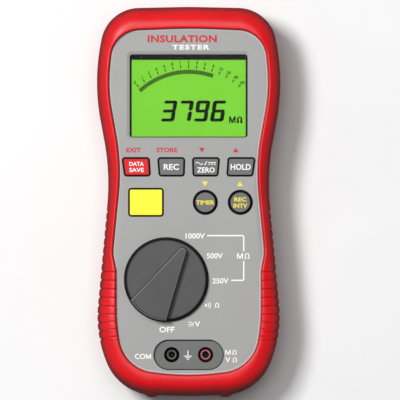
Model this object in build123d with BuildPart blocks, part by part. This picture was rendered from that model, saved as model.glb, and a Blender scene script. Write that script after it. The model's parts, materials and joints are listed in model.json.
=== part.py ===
"""Hand-held insulation resistance tester in a soft rubber holster.

Frame: +X right and +Y towards the display as the face is read, +Z out of the face.
The origin is the middle of the footprint, on the surface that the back lies on. Millimetres.
"""

import os
from math import cos, radians, sin, tan

from build123d import *

os.makedirs("parts", exist_ok=True)

# ---------------------------------------------------------------- driving dimensions
FIT = 0.1  # gap between fixed pieces
HOLSTER_TOP = 48.0
HOLSTER_WALL = 3.2
HOLSTER_FRONT_RADIUS = 10.0
HOLSTER_BACK_RADIUS = 7.0
BACK_LIP = 12.0  # how far the holster's back lip reaches in over the case

CASE_BACK = 2.2
CASE_FACE = 45.0
CASE_WALL = 2.2
CASE_FRONT_RADIUS = 5.5
CASE_BACK_RADIUS = 5.0
PARTING = 26.0  # height of the joint between the two case halves
INSIDE_FACE = CASE_FACE - CASE_WALL
BOSS_ROOT = 0.4  # how far a boss runs into the wall that carries it
CUT = 1.0  # how far a cut starts outside the face that it opens

# Right half of the holster's outer outline, from the top middle to the bottom middle,
# as the corners of a polygon and the radius that rounds each corner.
OUTER_CORNERS = [(0, 110), (45.8, 109), (53.8, 67.9), (44.2, 16.4), (52.6, -73.8), (39.6, -108), (0, -109.8)]
OUTER_RADII = [300, 21.8, 117.2, 131.4, 68.1, 29.1, 300]
# The same for the holster's front opening, with a step where the side grips begin.
OPENING_CORNERS = [
    (0, 97.9),
    (42.2, 96.2),
    (45.6, 64.5),
    (37.8, 20.9),
    (42.7, -28.5),
    (40.7, -38.4),
    (40.7, -68.8),
    (36.2, -93.9),
    (0, -98.2),
]
OPENING_RADII = [300, 16.5, 90.4, 121.4, 19.1, 19.4, 103.2, 21.5, 135]

GROOVE_PITCH = 4.8
GROOVE_WIDTH = 0.9
GROOVE_DEPTH = 0.7
SIDE_GROOVES = 16  # on the flanks
FRONT_GROOVES = 9  # the lowest of them also cross the front of the grips
LOWEST_GROOVE = -77.5
GROOVE_LOW, GROOVE_FLANK_TOP = 6.0, 40.0
GROOVE_MIDDLE_X, GROOVE_REACH = 48.0, 22.0
FOOT_X, FOOT_LOW_Y = 21.0, -110.2  # the two feet on the lower end
FOOT_RADIUS, FOOT_ROUND = 4.0, 3.0
FOOT_LOW, FOOT_HEIGHT = 10.0, 24.0

WINDOW = (66.4, 46.8)
WINDOW_Y = 59.7
WINDOW_CORNER = 1.6
WINDOW_BEVEL = 1.7
WINDOW_BEVEL_DEPTH = 0.8

KEY_GAP = 0.6  # clearance between a key and its opening
KEY_FLANGE = 0.7  # how far the flange reaches beyond the opening
KEY_TOP = CASE_FACE + 0.9
KEY_FOOT = 39.6
KEY_TRAVEL = 0.9
KEY_CORNER = 1.6
KEY_ROW = (25.0, 14.5)  # top and bottom of the upper row
INNER_KEY = (2.1, 17.5, 16.6, 2.4)  # X of its top left, top right, bottom right, bottom left
OUTER_KEY = (22.1, 37.6, 36.1, 21.4)
SQUARE_KEY = (-24.0, -0.2, 19.6, 15.8)
ROUND_KEYS = {"key_timer": 9.4, "key_interval": 29.1}
ROUND_KEY_Y = -0.2
ROUND_KEY_RADIUS = 6.85

KNOB_X, KNOB_Y = -12.6, -43.7
KNOB_RADIUS = 23.2
KNOB_GAP = 0.7
WELL_DEPTH = 1.2
WELL_FLOOR = CASE_FACE - WELL_DEPTH
WELL_THICK = 2.0
KNOB_FOOT = WELL_FLOOR + 0.3
KNOB_DECK = 49.0
KNOB_TOP = 54.6
POINTER_ANGLE = 30.0  # clockwise from +Y, at the 1000 V position
POINTER_HALF_ANGLE = 13.5
POINTER_APEX = 31.5  # where the two sides of the pointer would meet, from the knob's axis
POINTER_TIP_RADIUS = 3.1
POINTER_DRAFT = 7.0
STEM_RADIUS = 5.0
STEM_FOOT = 40.2
SPINDLE_RADIUS = 3.0
RUNNING = 0.08  # radial clearance of a turning fit
DETENT_STEP = 30.0
CARRIER_HOLE_DISTANCE, CARRIER_HOLE_RADIUS = 11.5, 4.2
HUB_FLANGE_RADIUS, HUB_FLANGE_THICK = 8.0, 0.7
WIPER_DISTANCE = 17.2
WIPER_SIZE = (2.4, 9.0)
WIPER_TIP = (2.0, 1.2)
WIPER_TIP_X, WIPER_TIP_HEIGHT = 3.9, 0.84
TRACK_GAP = 0.06  # between the wipers' tips and the board's tracks
SEAL_BACK = 40.7  # the knob's seal
CARRIER_RADIUS = 20.0
CARRIER_BACK, CARRIER_TOP = 36.6, 39.4
DETENT_BORE = 21.5
DETENT_BALL = 1.2
DETENT_START = 60.0
DETENT_ANGLES = (60.0, 180.0, 300.0)
SPRING_START = 12.5
SPINDLE_TOP = 47.5
HUB_FOOT = 31.6
CLIP_BACK, CLIP_THICK, CLIP_GROOVE = 32.4, 0.7, 2.4

SOCKET_PITCH = 19.05
SOCKET_Y = -86.0
SOCKET_RADIUS = 4.35
SOCKET_WALL = 0.95
SOCKET_FLOOR = 28.0
POST_RADIUS = 2.85
POST_TOP = 42.6
PIN_RADIUS = 2.0  # bore of the contact
CONTACT_RADIUS = 2.45
CONTACT_TOP = 41.5
CONTACT_DEPTH = 16.0
TERMINAL_SIZE = (38.8, 16.3)
TERMINAL_TOP = 43.6
TERMINAL_BACK = 41.7
LEAD_IN_RADIUS = 2.3
TERMINAL_FLANGE = 1.5
SOCKET_BASE = 1.6  # thickness under the socket's floor
SOCKET_COLLAR, SOCKET_COLLAR_THICK = 1.4, 1.2
STRAP_WIDTH, STRAP_THICK = 3.0, 0.6

BOARD_TOP = 35.0
BOARD_THICK = 1.6
BOARD_BACK = BOARD_TOP - BOARD_THICK
BOARD_INSET = 8.0
BOARD_LOW, BOARD_HIGH = -74.0, 96.0
BOARD_SCREWS = [(37, 30), (-37, 30), (37, -66), (-37, -66)]
CASE_SCREWS = [(40, 84), (-40, 84), (38.5, -84), (-38.5, -84)]
CASE_SCREW_RADIUS = 1.4
BOSS_RADIUS = 3.6
BOARD_POST_RADIUS = 2.6
BOARD_SCREW_RADIUS = 1.1
CASE_HEAD_RADIUS = 2.7
CASE_HEAD_SEAT = 6.4
CASE_SCREW_END = 37.0
THREAD_GAP = 0.05  # keeps a screw clear of its pilot hole
SHANK_GAP = 0.2  # round a screw or its head where it only passes through
CASE_PILOT_DEPTH, BOARD_PILOT_DEPTH = 13.0, 6.0
SEAL_EDGE, SEAL_WIDTH, SEAL_HEIGHT = 0.7, 0.8, 1.0

DOOR_X, DOOR_LOW, DOOR_HIGH = 32.0, 22.5, 95.5
DOOR_CORNER = 7.0
DOOR_THICK = 2.1
DOOR_SCREWS = [(24, 27), (-24, 27), (24, 91.8), (-24, 91.8)]
DOOR_LEDGE = 1.8
DOOR_GAP = 0.25
DOOR_BOSS_RADIUS, DOOR_BOSS_HEIGHT = 2.9, 7.5
DOOR_SCREW_RADIUS, DOOR_SCREW_END = 1.4, 10.5
SCREW_TIP_ROOM = 0.6
DOOR_HEAD_RADIUS, DOOR_HEAD_DEPTH = 2.6, 1.3
DOOR_RIB_SPACING, DOOR_RIB_WIDTH = 28.0, 1.6
DOOR_GRIP = (16.0, 1.2)  # one grip groove
DOOR_GRIP_PITCH, DOOR_GRIP_DEPTH, DOOR_GRIP_UP = 2.4, 0.5, 7.0
BAY_X, BAY_LOW, BAY_HIGH, BAY_ROOF = 29.7, 32.0, 87.6, 20.3
BAY_WALL = 1.4
BATTERY_RADIUS = 7.1
BATTERY_LENGTH = 49.2
BATTERY_PITCH = 14.7
BATTERY_Z = 12.6
BATTERY_XS = [BATTERY_PITCH * (i - 1.5) for i in range(4)]
BATTERY_MIDDLE = (BAY_LOW + BAY_HIGH) / 2

HINGE_Y, HINGE_Z = 10.0, 4.2
BARREL_RADIUS = 3.0
STAND_X = 26.0
STAND_END = -72.0
STAND_BACK, STAND_TOP = 1.0, 3.6
STAND_PIN_RADIUS = 1.5
STAND_PIN_X = 30.0
STAND_CORNER = 6.0
STAND_PANEL = (40.0, 56.0)
STAND_PANEL_DEPTH = 0.8
SCOOP_SIZE = (24.0, 13.0)
SCOOP_DEPTH = 3.2
POCKET_GAP = 0.4  # round the stand in its recess


# ---------------------------------------------------------------- outlines and shared forms
def mirrored_sketch(corners, radii, inset=0.0):
    """Closed sketch from its right half, top middle first and bottom middle last."""
    left = [(-x, y) for x, y in reversed(corners[1:-1])]
    with BuildSketch() as outline:
        with BuildLine():
            FilletPolyline(*corners, *left, radius=radii + radii[-2:0:-1], close=True)
        make_face()
        if inset:
            offset(amount=-inset)
    return outline.sketch


def outer_sketch(inset=0.0):
    """The holster's outline, moved in by inset."""
    return mirrored_sketch(OUTER_CORNERS, OUTER_RADII, inset)


def rounded_block(inset, low, high, low_radius, high_radius):
    """A solid of the outer outline, moved in by inset, with rounded back and front edges."""
    with BuildPart() as block:
        with BuildSketch(Plane.XY.offset(low)):
            add(outer_sketch(inset))
        extrude(amount=high - low)
        fillet(block.edges().group_by(Axis.Z)[-1], radius=high_radius)
        fillet(block.edges().group_by(Axis.Z)[0], radius=low_radius)
    return block.part


def case_form(grow):
    """The closed form of the case, with every face moved out by grow."""
    return rounded_block(
        HOLSTER_WALL - grow,
        CASE_BACK - grow,
        CASE_FACE + grow,
        CASE_BACK_RADIUS + grow,
        CASE_FRONT_RADIUS + grow,
    )


def upper_key_points(edges, side):
    """Corners of an upper-row key's opening; side is 1 on the right and -1 on the left."""
    top_left, top_right, bottom_right, bottom_left = edges
    top, bottom = KEY_ROW
    corners = [(top_left, top), (top_right, top), (bottom_right, bottom), (bottom_left, bottom)]
    return [(side * x, y) for x, y in corners]


UPPER_KEYS = {
    "key_capture": upper_key_points(OUTER_KEY, -1),
    "key_record": upper_key_points(INNER_KEY, -1),
    "key_zero": upper_key_points(INNER_KEY, 1),
    "key_hold": upper_key_points(OUTER_KEY, 1),
}


def key_sketch(name, grow=0.0):
    """The opening of one key, moved out by grow."""
    with BuildSketch() as opening:
        if name in ROUND_KEYS:
            with Locations((ROUND_KEYS[name], ROUND_KEY_Y)):
                Circle(ROUND_KEY_RADIUS + grow)
        elif name == "key_select":
            x, y, width, height = SQUARE_KEY
            with Locations((x, y)):
                RectangleRounded(width + 2 * grow, height + 2 * grow, KEY_CORNER + grow)
        else:
            with BuildLine():
                Polyline(*UPPER_KEYS[name], close=True)
            make_face()
            fillet(opening.vertices(), radius=KEY_CORNER)
            if grow:
                offset(amount=grow)
    return opening.sketch


KEYS = [*UPPER_KEYS, "key_select", *ROUND_KEYS]


def finish(builder, name):
    """Labels a finished piece and writes it under its own name."""
    builder.part.label = name
    export_step(builder.part, f"parts/{name}.step")


# ---------------------------------------------------------------- holster
def groove_y(i):
    """Y of groove i, counted up from the lowest."""
    return LOWEST_GROOVE + i * GROOVE_PITCH


outer_form = rounded_block(0, 0, HOLSTER_TOP, HOLSTER_BACK_RADIUS, HOLSTER_FRONT_RADIUS)
groove_floor = rounded_block(
    GROOVE_DEPTH,
    GROOVE_DEPTH,
    HOLSTER_TOP - GROOVE_DEPTH,
    HOLSTER_BACK_RADIUS,
    HOLSTER_FRONT_RADIUS,
)

with BuildPart() as grooves:
    for side in (-1, 1):
        for i in range(SIDE_GROOVES):
            top = HOLSTER_TOP + CUT if i < FRONT_GROOVES else GROOVE_FLANK_TOP
            with Locations((side * GROOVE_MIDDLE_X, groove_y(i), (GROOVE_LOW + top) / 2)):
                Box(GROOVE_REACH, GROOVE_WIDTH, top - GROOVE_LOW)
    add(groove_floor, mode=Mode.SUBTRACT)

with BuildPart() as end_foot:
    with BuildSketch(Plane.XY.offset(FOOT_LOW)):
        with Locations((FOOT_X, FOOT_LOW_Y + FOOT_RADIUS)):
            Circle(FOOT_RADIUS)
    extrude(amount=FOOT_HEIGHT)
    fillet(end_foot.faces().filter_by(Axis.Z).edges(), radius=FOOT_ROUND)

with BuildPart() as holster:
    add(outer_form)
    add(grooves.part, mode=Mode.SUBTRACT)
    add(end_foot.part)
    mirror(end_foot.part, about=Plane.YZ)
    add(case_form(FIT), mode=Mode.SUBTRACT)
    with BuildSketch(Plane.XY.offset(CASE_FACE - CUT)):
        add(mirrored_sketch(OPENING_CORNERS, OPENING_RADII))
    extrude(amount=HOLSTER_TOP, mode=Mode.SUBTRACT)
    with BuildSketch(Plane.XY.offset(-CUT)):
        add(outer_sketch(BACK_LIP))
    extrude(amount=CASE_BACK + 2 * CUT, mode=Mode.SUBTRACT)
finish(holster, "holster")

# ---------------------------------------------------------------- case halves
shell_form = case_form(0)
shell_core = case_form(-CASE_WALL)

with BuildPart() as front_case:
    add(shell_form)
    add(shell_core, mode=Mode.SUBTRACT)
    split(bisect_by=Plane.XY.offset(PARTING + FIT / 2), keep=Keep.TOP)
    # screw bosses, and posts that carry the circuit board
    with BuildSketch(Plane.XY.offset(PARTING + FIT / 2)):
        with Locations(*CASE_SCREWS):
            Circle(BOSS_RADIUS)
    extrude(amount=INSIDE_FACE + BOSS_ROOT - PARTING)
    with BuildSketch(Plane.XY.offset(BOARD_TOP)):
        with Locations(*BOARD_SCREWS):
            Circle(BOARD_POST_RADIUS)
    extrude(amount=INSIDE_FACE + BOSS_ROOT - BOARD_TOP)
    # thicker floor under the knob, and its well
    with BuildSketch(Plane.XY.offset(WELL_FLOOR - WELL_THICK)):
        with Locations((KNOB_X, KNOB_Y)):
            Circle(KNOB_RADIUS + KNOB_GAP + WELL_THICK)
    extrude(amount=WELL_THICK + WELL_DEPTH / 2)
    with BuildSketch(Plane.XY.offset(WELL_FLOOR)):
        with Locations((KNOB_X, KNOB_Y)):
            Circle(KNOB_RADIUS + KNOB_GAP)
    extrude(amount=WELL_DEPTH + CUT, mode=Mode.SUBTRACT)
    with BuildSketch(Plane.XY.offset(WELL_FLOOR - WELL_THICK - CUT)):
        with Locations((KNOB_X, KNOB_Y)):
            Circle(STEM_RADIUS + RUNNING)
    extrude(amount=WELL_THICK + 2 * CUT, mode=Mode.SUBTRACT)
    # display window with a bevelled edge
    with BuildSketch(Plane.XY.offset(INSIDE_FACE - CUT)):
        with Locations((0, WINDOW_Y)):
            RectangleRounded(*WINDOW, WINDOW_CORNER)
    extrude(amount=CASE_WALL + 2 * CUT, mode=Mode.SUBTRACT)
    with BuildSketch(Plane.XY.offset(CASE_FACE - WINDOW_BEVEL_DEPTH)):
        with Locations((0, WINDOW_Y)):
            RectangleRounded(*WINDOW, WINDOW_CORNER)
    with BuildSketch(Plane.XY.offset(CASE_FACE)):
        with Locations((0, WINDOW_Y)):
            RectangleRounded(
                WINDOW[0] + 2 * WINDOW_BEVEL,
                WINDOW[1] + 2 * WINDOW_BEVEL,
                WINDOW_CORNER + WINDOW_BEVEL,
            )
    loft(mode=Mode.SUBTRACT)
    # openings of the keys and the terminals
    with BuildSketch(Plane.XY.offset(INSIDE_FACE - CUT)):
        for key_name in KEYS:
            add(key_sketch(key_name))
        with Locations((0, SOCKET_Y)):
            SlotOverall(*TERMINAL_SIZE)
    extrude(amount=CASE_WALL + 2 * CUT, mode=Mode.SUBTRACT)
    # pilot holes
    with BuildSketch(Plane.XY.offset(PARTING - CUT)):
        with Locations(*CASE_SCREWS):
            Circle(CASE_SCREW_RADIUS + THREAD_GAP)
    extrude(amount=CASE_PILOT_DEPTH + CUT, mode=Mode.SUBTRACT)
    with BuildSketch(Plane.XY.offset(BOARD_TOP - CUT)):
        with Locations(*BOARD_SCREWS):
            Circle(BOARD_SCREW_RADIUS + THREAD_GAP)
    extrude(amount=BOARD_PILOT_DEPTH + CUT, mode=Mode.SUBTRACT)
finish(front_case, "front_case")


def door_sketch(grow):
    """The outline of the battery door, moved out by grow."""
    with BuildSketch() as outline:
        with Locations((0, (DOOR_LOW + DOOR_HIGH) / 2)):
            RectangleRounded(2 * (DOOR_X + grow), DOOR_HIGH - DOOR_LOW + 2 * grow, DOOR_CORNER + grow)
    return outline.sketch


def bay_sketch(grow):
    """The outline of the battery bay, moved out by grow."""
    with BuildSketch() as outline:
        with Locations((0, (BAY_LOW + BAY_HIGH) / 2)):
            Rectangle(2 * (BAY_X + grow), BAY_HIGH - BAY_LOW + 2 * grow)
    return outline.sketch


def stand_sketch(grow):
    """The outline of the tilt stand from its hinge to its end, moved out by grow."""
    with BuildSketch() as outline:
        with BuildLine():
            FilletPolyline(
                (-STAND_X - grow, HINGE_Y),
                (-STAND_X - grow, STAND_END - grow),
                (STAND_X + grow, STAND_END - grow),
                (STAND_X + grow, HINGE_Y),
                radius=STAND_CORNER + grow,
            )
            Line((STAND_X + grow, HINGE_Y), (-STAND_X - grow, HINGE_Y))
        make_face()
    return outline.sketch


DOOR_SEAT = CASE_BACK + DOOR_THICK + FIT
STAND_SEAT = STAND_TOP + 0.3
HINGE_ROOF = HINGE_Z + BARREL_RADIUS + POCKET_GAP
POCKET_WALL = 2.0

with BuildPart() as rear_case:
    add(shell_form)
    add(shell_core, mode=Mode.SUBTRACT)
    split(bisect_by=Plane.XY.offset(PARTING - FIT / 2), keep=Keep.BOTTOM)
    with BuildSketch(Plane.XY.offset(CASE_BACK + CUT)):
        with Locations(*CASE_SCREWS):
            Circle(BOSS_RADIUS)
    extrude(amount=PARTING - FIT / 2 - CASE_BACK - CUT)
    # battery bay with its roof, the ledge that the door closes on and the door's screw bosses
    with BuildSketch(Plane.XY.offset(CASE_BACK + CUT)):
        add(door_sketch(BAY_WALL))
    extrude(amount=DOOR_SEAT + DOOR_LEDGE - CASE_BACK - CUT)
    with BuildSketch(Plane.XY.offset(DOOR_SEAT)):
        with Locations(*DOOR_SCREWS):
            Circle(DOOR_BOSS_RADIUS)
    extrude(amount=DOOR_BOSS_HEIGHT)
    with BuildSketch(Plane.XY.offset(DOOR_SEAT)):
        add(bay_sketch(BAY_WALL))
    extrude(amount=BAY_ROOF + BAY_WALL - DOOR_SEAT)
    with BuildSketch(Plane.XY.offset(CASE_BACK - CUT)):
        add(bay_sketch(0))
    extrude(amount=BAY_ROOF - CASE_BACK + CUT, mode=Mode.SUBTRACT)
    with BuildSketch(Plane.XY.offset(CASE_BACK - CUT)):
        add(door_sketch(DOOR_GAP))
    extrude(amount=DOOR_SEAT - CASE_BACK + CUT, mode=Mode.SUBTRACT)
    with BuildSketch(Plane.XY.offset(CASE_BACK)):
        with Locations(*DOOR_SCREWS):
            Circle(DOOR_SCREW_RADIUS + THREAD_GAP)
    extrude(amount=DOOR_SCREW_END + SCREW_TIP_ROOM - CASE_BACK, mode=Mode.SUBTRACT)
    # recess of the tilt stand, its hinge pocket and the finger scoop at its end
    with BuildSketch(Plane.XY.offset(CASE_BACK + CUT)):
        add(stand_sketch(POCKET_GAP + POCKET_WALL))
    extrude(amount=STAND_SEAT + POCKET_WALL - CASE_BACK - CUT)
    with BuildSketch(Plane.XY.offset(CASE_BACK + CUT)):
        with Locations((0, STAND_END)):
            SlotOverall(SCOOP_SIZE[0] + 2 * POCKET_WALL, SCOOP_SIZE[1] + 2 * POCKET_WALL)
    extrude(amount=SCOOP_DEPTH + POCKET_WALL - CUT)
    with BuildSketch(Plane.XY.offset(CASE_BACK + CUT)):
        with Locations((0, HINGE_Y)):
            Rectangle(2 * (STAND_PIN_X + POCKET_WALL), 2 * (BARREL_RADIUS + POCKET_GAP + POCKET_WALL))
    extrude(amount=HINGE_ROOF + POCKET_WALL - CASE_BACK - CUT)
    with BuildSketch(Plane.XY.offset(CASE_BACK - CUT)):
        add(stand_sketch(POCKET_GAP))
    extrude(amount=STAND_SEAT - CASE_BACK + CUT, mode=Mode.SUBTRACT)
    with BuildSketch(Plane.XY.offset(CASE_BACK - CUT)):
        with Locations((0, HINGE_Y)):
            Rectangle(2 * (STAND_X + POCKET_GAP), 2 * (BARREL_RADIUS + POCKET_GAP))
    extrude(amount=HINGE_ROOF - CASE_BACK + CUT, mode=Mode.SUBTRACT)
    with BuildSketch(Plane.YZ.offset(-STAND_PIN_X)):
        with Locations((HINGE_Y, HINGE_Z)):
            Circle(STAND_PIN_RADIUS)
    extrude(amount=2 * STAND_PIN_X, mode=Mode.SUBTRACT)
    with BuildSketch(Plane.XY.offset(CASE_BACK - CUT)):
        with Locations((0, STAND_END)):
            SlotOverall(*SCOOP_SIZE)
    extrude(amount=SCOOP_DEPTH + CUT, mode=Mode.SUBTRACT)
    # case screw holes, sunk from the back
    with BuildSketch(Plane.XY.offset(CASE_BACK - CUT)):
        with Locations(*CASE_SCREWS):
            Circle(CASE_HEAD_RADIUS + SHANK_GAP)
    extrude(amount=CASE_HEAD_SEAT - CASE_BACK + CUT, mode=Mode.SUBTRACT)
    with BuildSketch(Plane.XY.offset(CASE_BACK)):
        with Locations(*CASE_SCREWS):
            Circle(CASE_SCREW_RADIUS + SHANK_GAP)
    extrude(amount=PARTING, mode=Mode.SUBTRACT)
    # groove for the seal between the halves
    with BuildSketch(Plane.XY.offset(PARTING - SEAL_HEIGHT)):
        add(outer_sketch(HOLSTER_WALL + SEAL_EDGE))
        add(outer_sketch(HOLSTER_WALL + SEAL_EDGE + SEAL_WIDTH), mode=Mode.SUBTRACT)
    extrude(amount=SEAL_HEIGHT + CUT, mode=Mode.SUBTRACT)
finish(rear_case, "rear_case")

with BuildPart() as case_gasket:
    with BuildSketch(Plane.XY.offset(PARTING - SEAL_HEIGHT)):
        add(outer_sketch(HOLSTER_WALL + SEAL_EDGE + FIT / 2))
        add(outer_sketch(HOLSTER_WALL + SEAL_EDGE + SEAL_WIDTH - FIT / 2), mode=Mode.SUBTRACT)
    extrude(amount=SEAL_HEIGHT + FIT / 2)
finish(case_gasket, "case_gasket")


# ---------------------------------------------------------------- screws
def screws(places, tip, seat, shank_radius, head_radius, head_height, slot_depth):
    """Pan-head screws that point up: the head hangs below its seat and has a cross recess."""
    with BuildPart() as group:
        with BuildSketch(Plane.XY.offset(seat)):
            with Locations(*places):
                Circle(shank_radius)
        extrude(amount=tip - seat)
        with BuildSketch(Plane.XY.offset(seat - head_height)):
            with Locations(*places):
                Circle(head_radius)
        extrude(amount=head_height)
        fillet(group.edges().group_by(Axis.Z)[0], radius=head_height * 0.4)
        with BuildSketch(Plane.XY.offset(seat - head_height)):
            with Locations(*places):
                Rectangle(head_radius * 1.1, head_radius * 0.26)
                Rectangle(head_radius * 0.26, head_radius * 1.1)
        extrude(amount=slot_depth, mode=Mode.SUBTRACT)
    return group


case_screws = screws(CASE_SCREWS, CASE_SCREW_END, CASE_HEAD_SEAT, CASE_SCREW_RADIUS, CASE_HEAD_RADIUS, 2.0, 1.1)
finish(case_screws, "case_screws")
board_tip = BOARD_TOP + BOARD_PILOT_DEPTH - 1
board_screws = screws(BOARD_SCREWS, board_tip, BOARD_BACK, BOARD_SCREW_RADIUS, 2.1, 1.5, 0.8)
finish(board_screws, "board_screws")

# ---------------------------------------------------------------- battery door
with BuildPart() as battery_door:
    with BuildSketch(Plane.XY.offset(CASE_BACK)):
        add(door_sketch(0))
    extrude(amount=DOOR_THICK)
    chamfer(battery_door.edges().group_by(Axis.Z)[0], length=0.3)
    # two ribs that hold the batteries up, and four grip grooves outside
    with BuildSketch(Plane.XY.offset(CASE_BACK + DOOR_THICK)):
        with Locations((0, BATTERY_MIDDLE)):
            with GridLocations(0, DOOR_RIB_SPACING, 1, 2):
                Rectangle(2 * BAY_X - 2, DOOR_RIB_WIDTH)
    extrude(amount=BATTERY_Z - BATTERY_RADIUS - FIT - CASE_BACK - DOOR_THICK)
    with BuildSketch(Plane.XY.offset(CASE_BACK)):
        with Locations((0, DOOR_LOW + DOOR_GRIP_UP)):
            with GridLocations(0, DOOR_GRIP_PITCH, 1, 4):
                SlotOverall(*DOOR_GRIP)
    extrude(amount=DOOR_GRIP_DEPTH, mode=Mode.SUBTRACT)
    with BuildSketch(Plane.XY.offset(CASE_BACK)):
        with Locations(*DOOR_SCREWS):
            Circle(DOOR_SCREW_RADIUS + FIT)
    extrude(amount=DOOR_THICK, mode=Mode.SUBTRACT)
    with BuildSketch(Plane.XY.offset(CASE_BACK)):
        with Locations(*DOOR_SCREWS):
            Circle(DOOR_HEAD_RADIUS + 0.15)
    extrude(amount=DOOR_HEAD_DEPTH, mode=Mode.SUBTRACT)
finish(battery_door, "battery_door")

battery_door_screws = screws(
    DOOR_SCREWS,
    DOOR_SCREW_END,
    CASE_BACK + DOOR_HEAD_DEPTH,
    DOOR_SCREW_RADIUS,
    DOOR_HEAD_RADIUS,
    DOOR_HEAD_DEPTH - FIT,
    0.7,
)
finish(battery_door_screws, "battery_door_screws")

# ---------------------------------------------------------------- tilt stand
with BuildPart() as tilt_stand:
    with BuildSketch(Plane.XY.offset(STAND_BACK)):
        add(stand_sketch(0))
    extrude(amount=STAND_TOP - STAND_BACK)
    fillet(tilt_stand.edges().group_by(Axis.Z)[0], radius=0.8)
    with BuildSketch(Plane.XY.offset(STAND_BACK)):
        with Locations((0, (HINGE_Y + STAND_END) / 2)):
            RectangleRounded(*STAND_PANEL, 4)
    extrude(amount=STAND_PANEL_DEPTH, mode=Mode.SUBTRACT)
    with BuildSketch(Plane.YZ.offset(-STAND_X)):
        with Locations((HINGE_Y, HINGE_Z)):
            Circle(BARREL_RADIUS)
    extrude(amount=2 * STAND_X)
    with BuildSketch(Plane.YZ.offset(-STAND_X)):
        with Locations((HINGE_Y, HINGE_Z)):
            Circle(STAND_PIN_RADIUS + RUNNING)
    extrude(amount=2 * STAND_X, mode=Mode.SUBTRACT)
finish(tilt_stand, "tilt_stand")

with BuildPart() as stand_hinge_pin:
    with BuildSketch(Plane.YZ.offset(-STAND_PIN_X)):
        with Locations((HINGE_Y, HINGE_Z)):
            Circle(STAND_PIN_RADIUS)
    extrude(amount=2 * STAND_PIN_X)
    chamfer(stand_hinge_pin.faces().filter_by(Axis.X).edges(), length=0.3)
finish(stand_hinge_pin, "stand_hinge_pin")


# ---------------------------------------------------------------- display
def display_block(name, size, low, high, corner):
    """A flat rounded block behind the display window."""
    with BuildPart() as block:
        with BuildSketch(Plane.XY.offset(low)):
            with Locations((0, WINDOW_Y)):
                RectangleRounded(*size, corner)
        extrude(amount=high - low)
    finish(block, name)


LCD_SIZE = (69.0, 50.4)
LCD_BACK, LCD_TOP = 38.8, 41.2
LENS_BACK, LENS_TOP = 41.35, 42.7
ZEBRA_DEPTH = 2.2
display_block("display_lens", (71.0, 51.6), LENS_BACK, LENS_TOP, 1.5)
display_block("lcd_panel", LCD_SIZE, LCD_BACK, LCD_TOP, 0.5)
display_block("lcd_light_guide", (LCD_SIZE[0] - 0.6, LCD_SIZE[1] - 2 * ZEBRA_DEPTH - 1.2), 35.2, 38.7, 0.5)

with BuildPart() as zebra_strips:
    with BuildSketch(Plane.XY.offset(BOARD_TOP)):
        with Locations((0, WINDOW_Y)):
            with GridLocations(0, LCD_SIZE[1] - ZEBRA_DEPTH - 0.2, 1, 2):
                Rectangle(LCD_SIZE[0] - 4, ZEBRA_DEPTH)
    extrude(amount=LCD_BACK - BOARD_TOP)
finish(zebra_strips, "zebra_strips")

with BuildPart() as lcd_frame:
    with BuildSketch(Plane.XY.offset(BOARD_TOP)):
        with Locations((0, WINDOW_Y)):
            Rectangle(LCD_SIZE[0] + 2.8, LCD_SIZE[1] + 2.8)
            Rectangle(LCD_SIZE[0] + 0.2, LCD_SIZE[1] + 0.2, mode=Mode.SUBTRACT)
    extrude(amount=LCD_TOP - BOARD_TOP)
finish(lcd_frame, "lcd_frame")

# ---------------------------------------------------------------- keys
KEY_TOP_RADIUS = 0.45
ROUND_KEY_TOP_RADIUS = 1.2
MEMBRANE_Y, MEMBRANE_SIZE, MEMBRANE_THICK = 8.0, (79.0, 38.0), 1.0
DOME_RADIUS, DOME_TAPER = 4.6, 14.0
FLANGE_BACK = KEY_FOOT + 1.6
for key_name in KEYS:
    with BuildPart() as key:
        with BuildSketch(Plane.XY.offset(KEY_FOOT)):
            add(key_sketch(key_name, -KEY_GAP))
        extrude(amount=KEY_TOP - KEY_FOOT)
        top_edges = key.edges().group_by(Axis.Z)[-1]
        fillet(top_edges, radius=ROUND_KEY_TOP_RADIUS if key_name in ROUND_KEYS else KEY_TOP_RADIUS)
        with BuildSketch(Plane.XY.offset(FLANGE_BACK)):
            add(key_sketch(key_name, KEY_FLANGE))
        extrude(amount=INSIDE_FACE - FIT - FLANGE_BACK)
    finish(key, key_name)

key_centres = [(sum(x for x, _ in points) / 4, sum(KEY_ROW) / 2) for points in UPPER_KEYS.values()]
key_centres += [SQUARE_KEY[:2], *((x, ROUND_KEY_Y) for x in ROUND_KEYS.values())]
with BuildPart() as keypad_membrane:
    with BuildSketch(Plane.XY.offset(BOARD_TOP)):
        with Locations((0, MEMBRANE_Y)):
            RectangleRounded(*MEMBRANE_SIZE, 3)
    extrude(amount=MEMBRANE_THICK)
    with BuildSketch(Plane.XY.offset(BOARD_TOP + 0.5)):
        with Locations(*key_centres):
            Circle(DOME_RADIUS)
    extrude(amount=KEY_FOOT - KEY_TRAVEL - FIT - BOARD_TOP - 0.5, taper=DOME_TAPER)
finish(keypad_membrane, "keypad_membrane")

# ---------------------------------------------------------------- range selector
knob_axis = (KNOB_X, KNOB_Y)
pointer_tail = KNOB_RADIUS + 6
tail_half = (POINTER_APEX + pointer_tail) * tan(radians(POINTER_HALF_ANGLE))
with BuildPart() as knob_pointer:
    with BuildSketch(Plane.XY.offset(KNOB_FOOT + 2)) as pointer:
        with BuildLine():
            Polyline((0, POINTER_APEX), (-tail_half, -pointer_tail), (tail_half, -pointer_tail), close=True)
        make_face()
        fillet(pointer.vertices().sort_by(Axis.Y)[-1], radius=POINTER_TIP_RADIUS)
    extrude(amount=KNOB_TOP - KNOB_FOOT - 2, taper=POINTER_DRAFT)
    with BuildSketch(Plane.XY.offset(KNOB_FOOT)):
        Circle(KNOB_RADIUS - 0.3)
    extrude(amount=KNOB_TOP, mode=Mode.INTERSECT)
    fillet(knob_pointer.edges().group_by(Axis.Z)[-1], radius=0.8)

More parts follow.
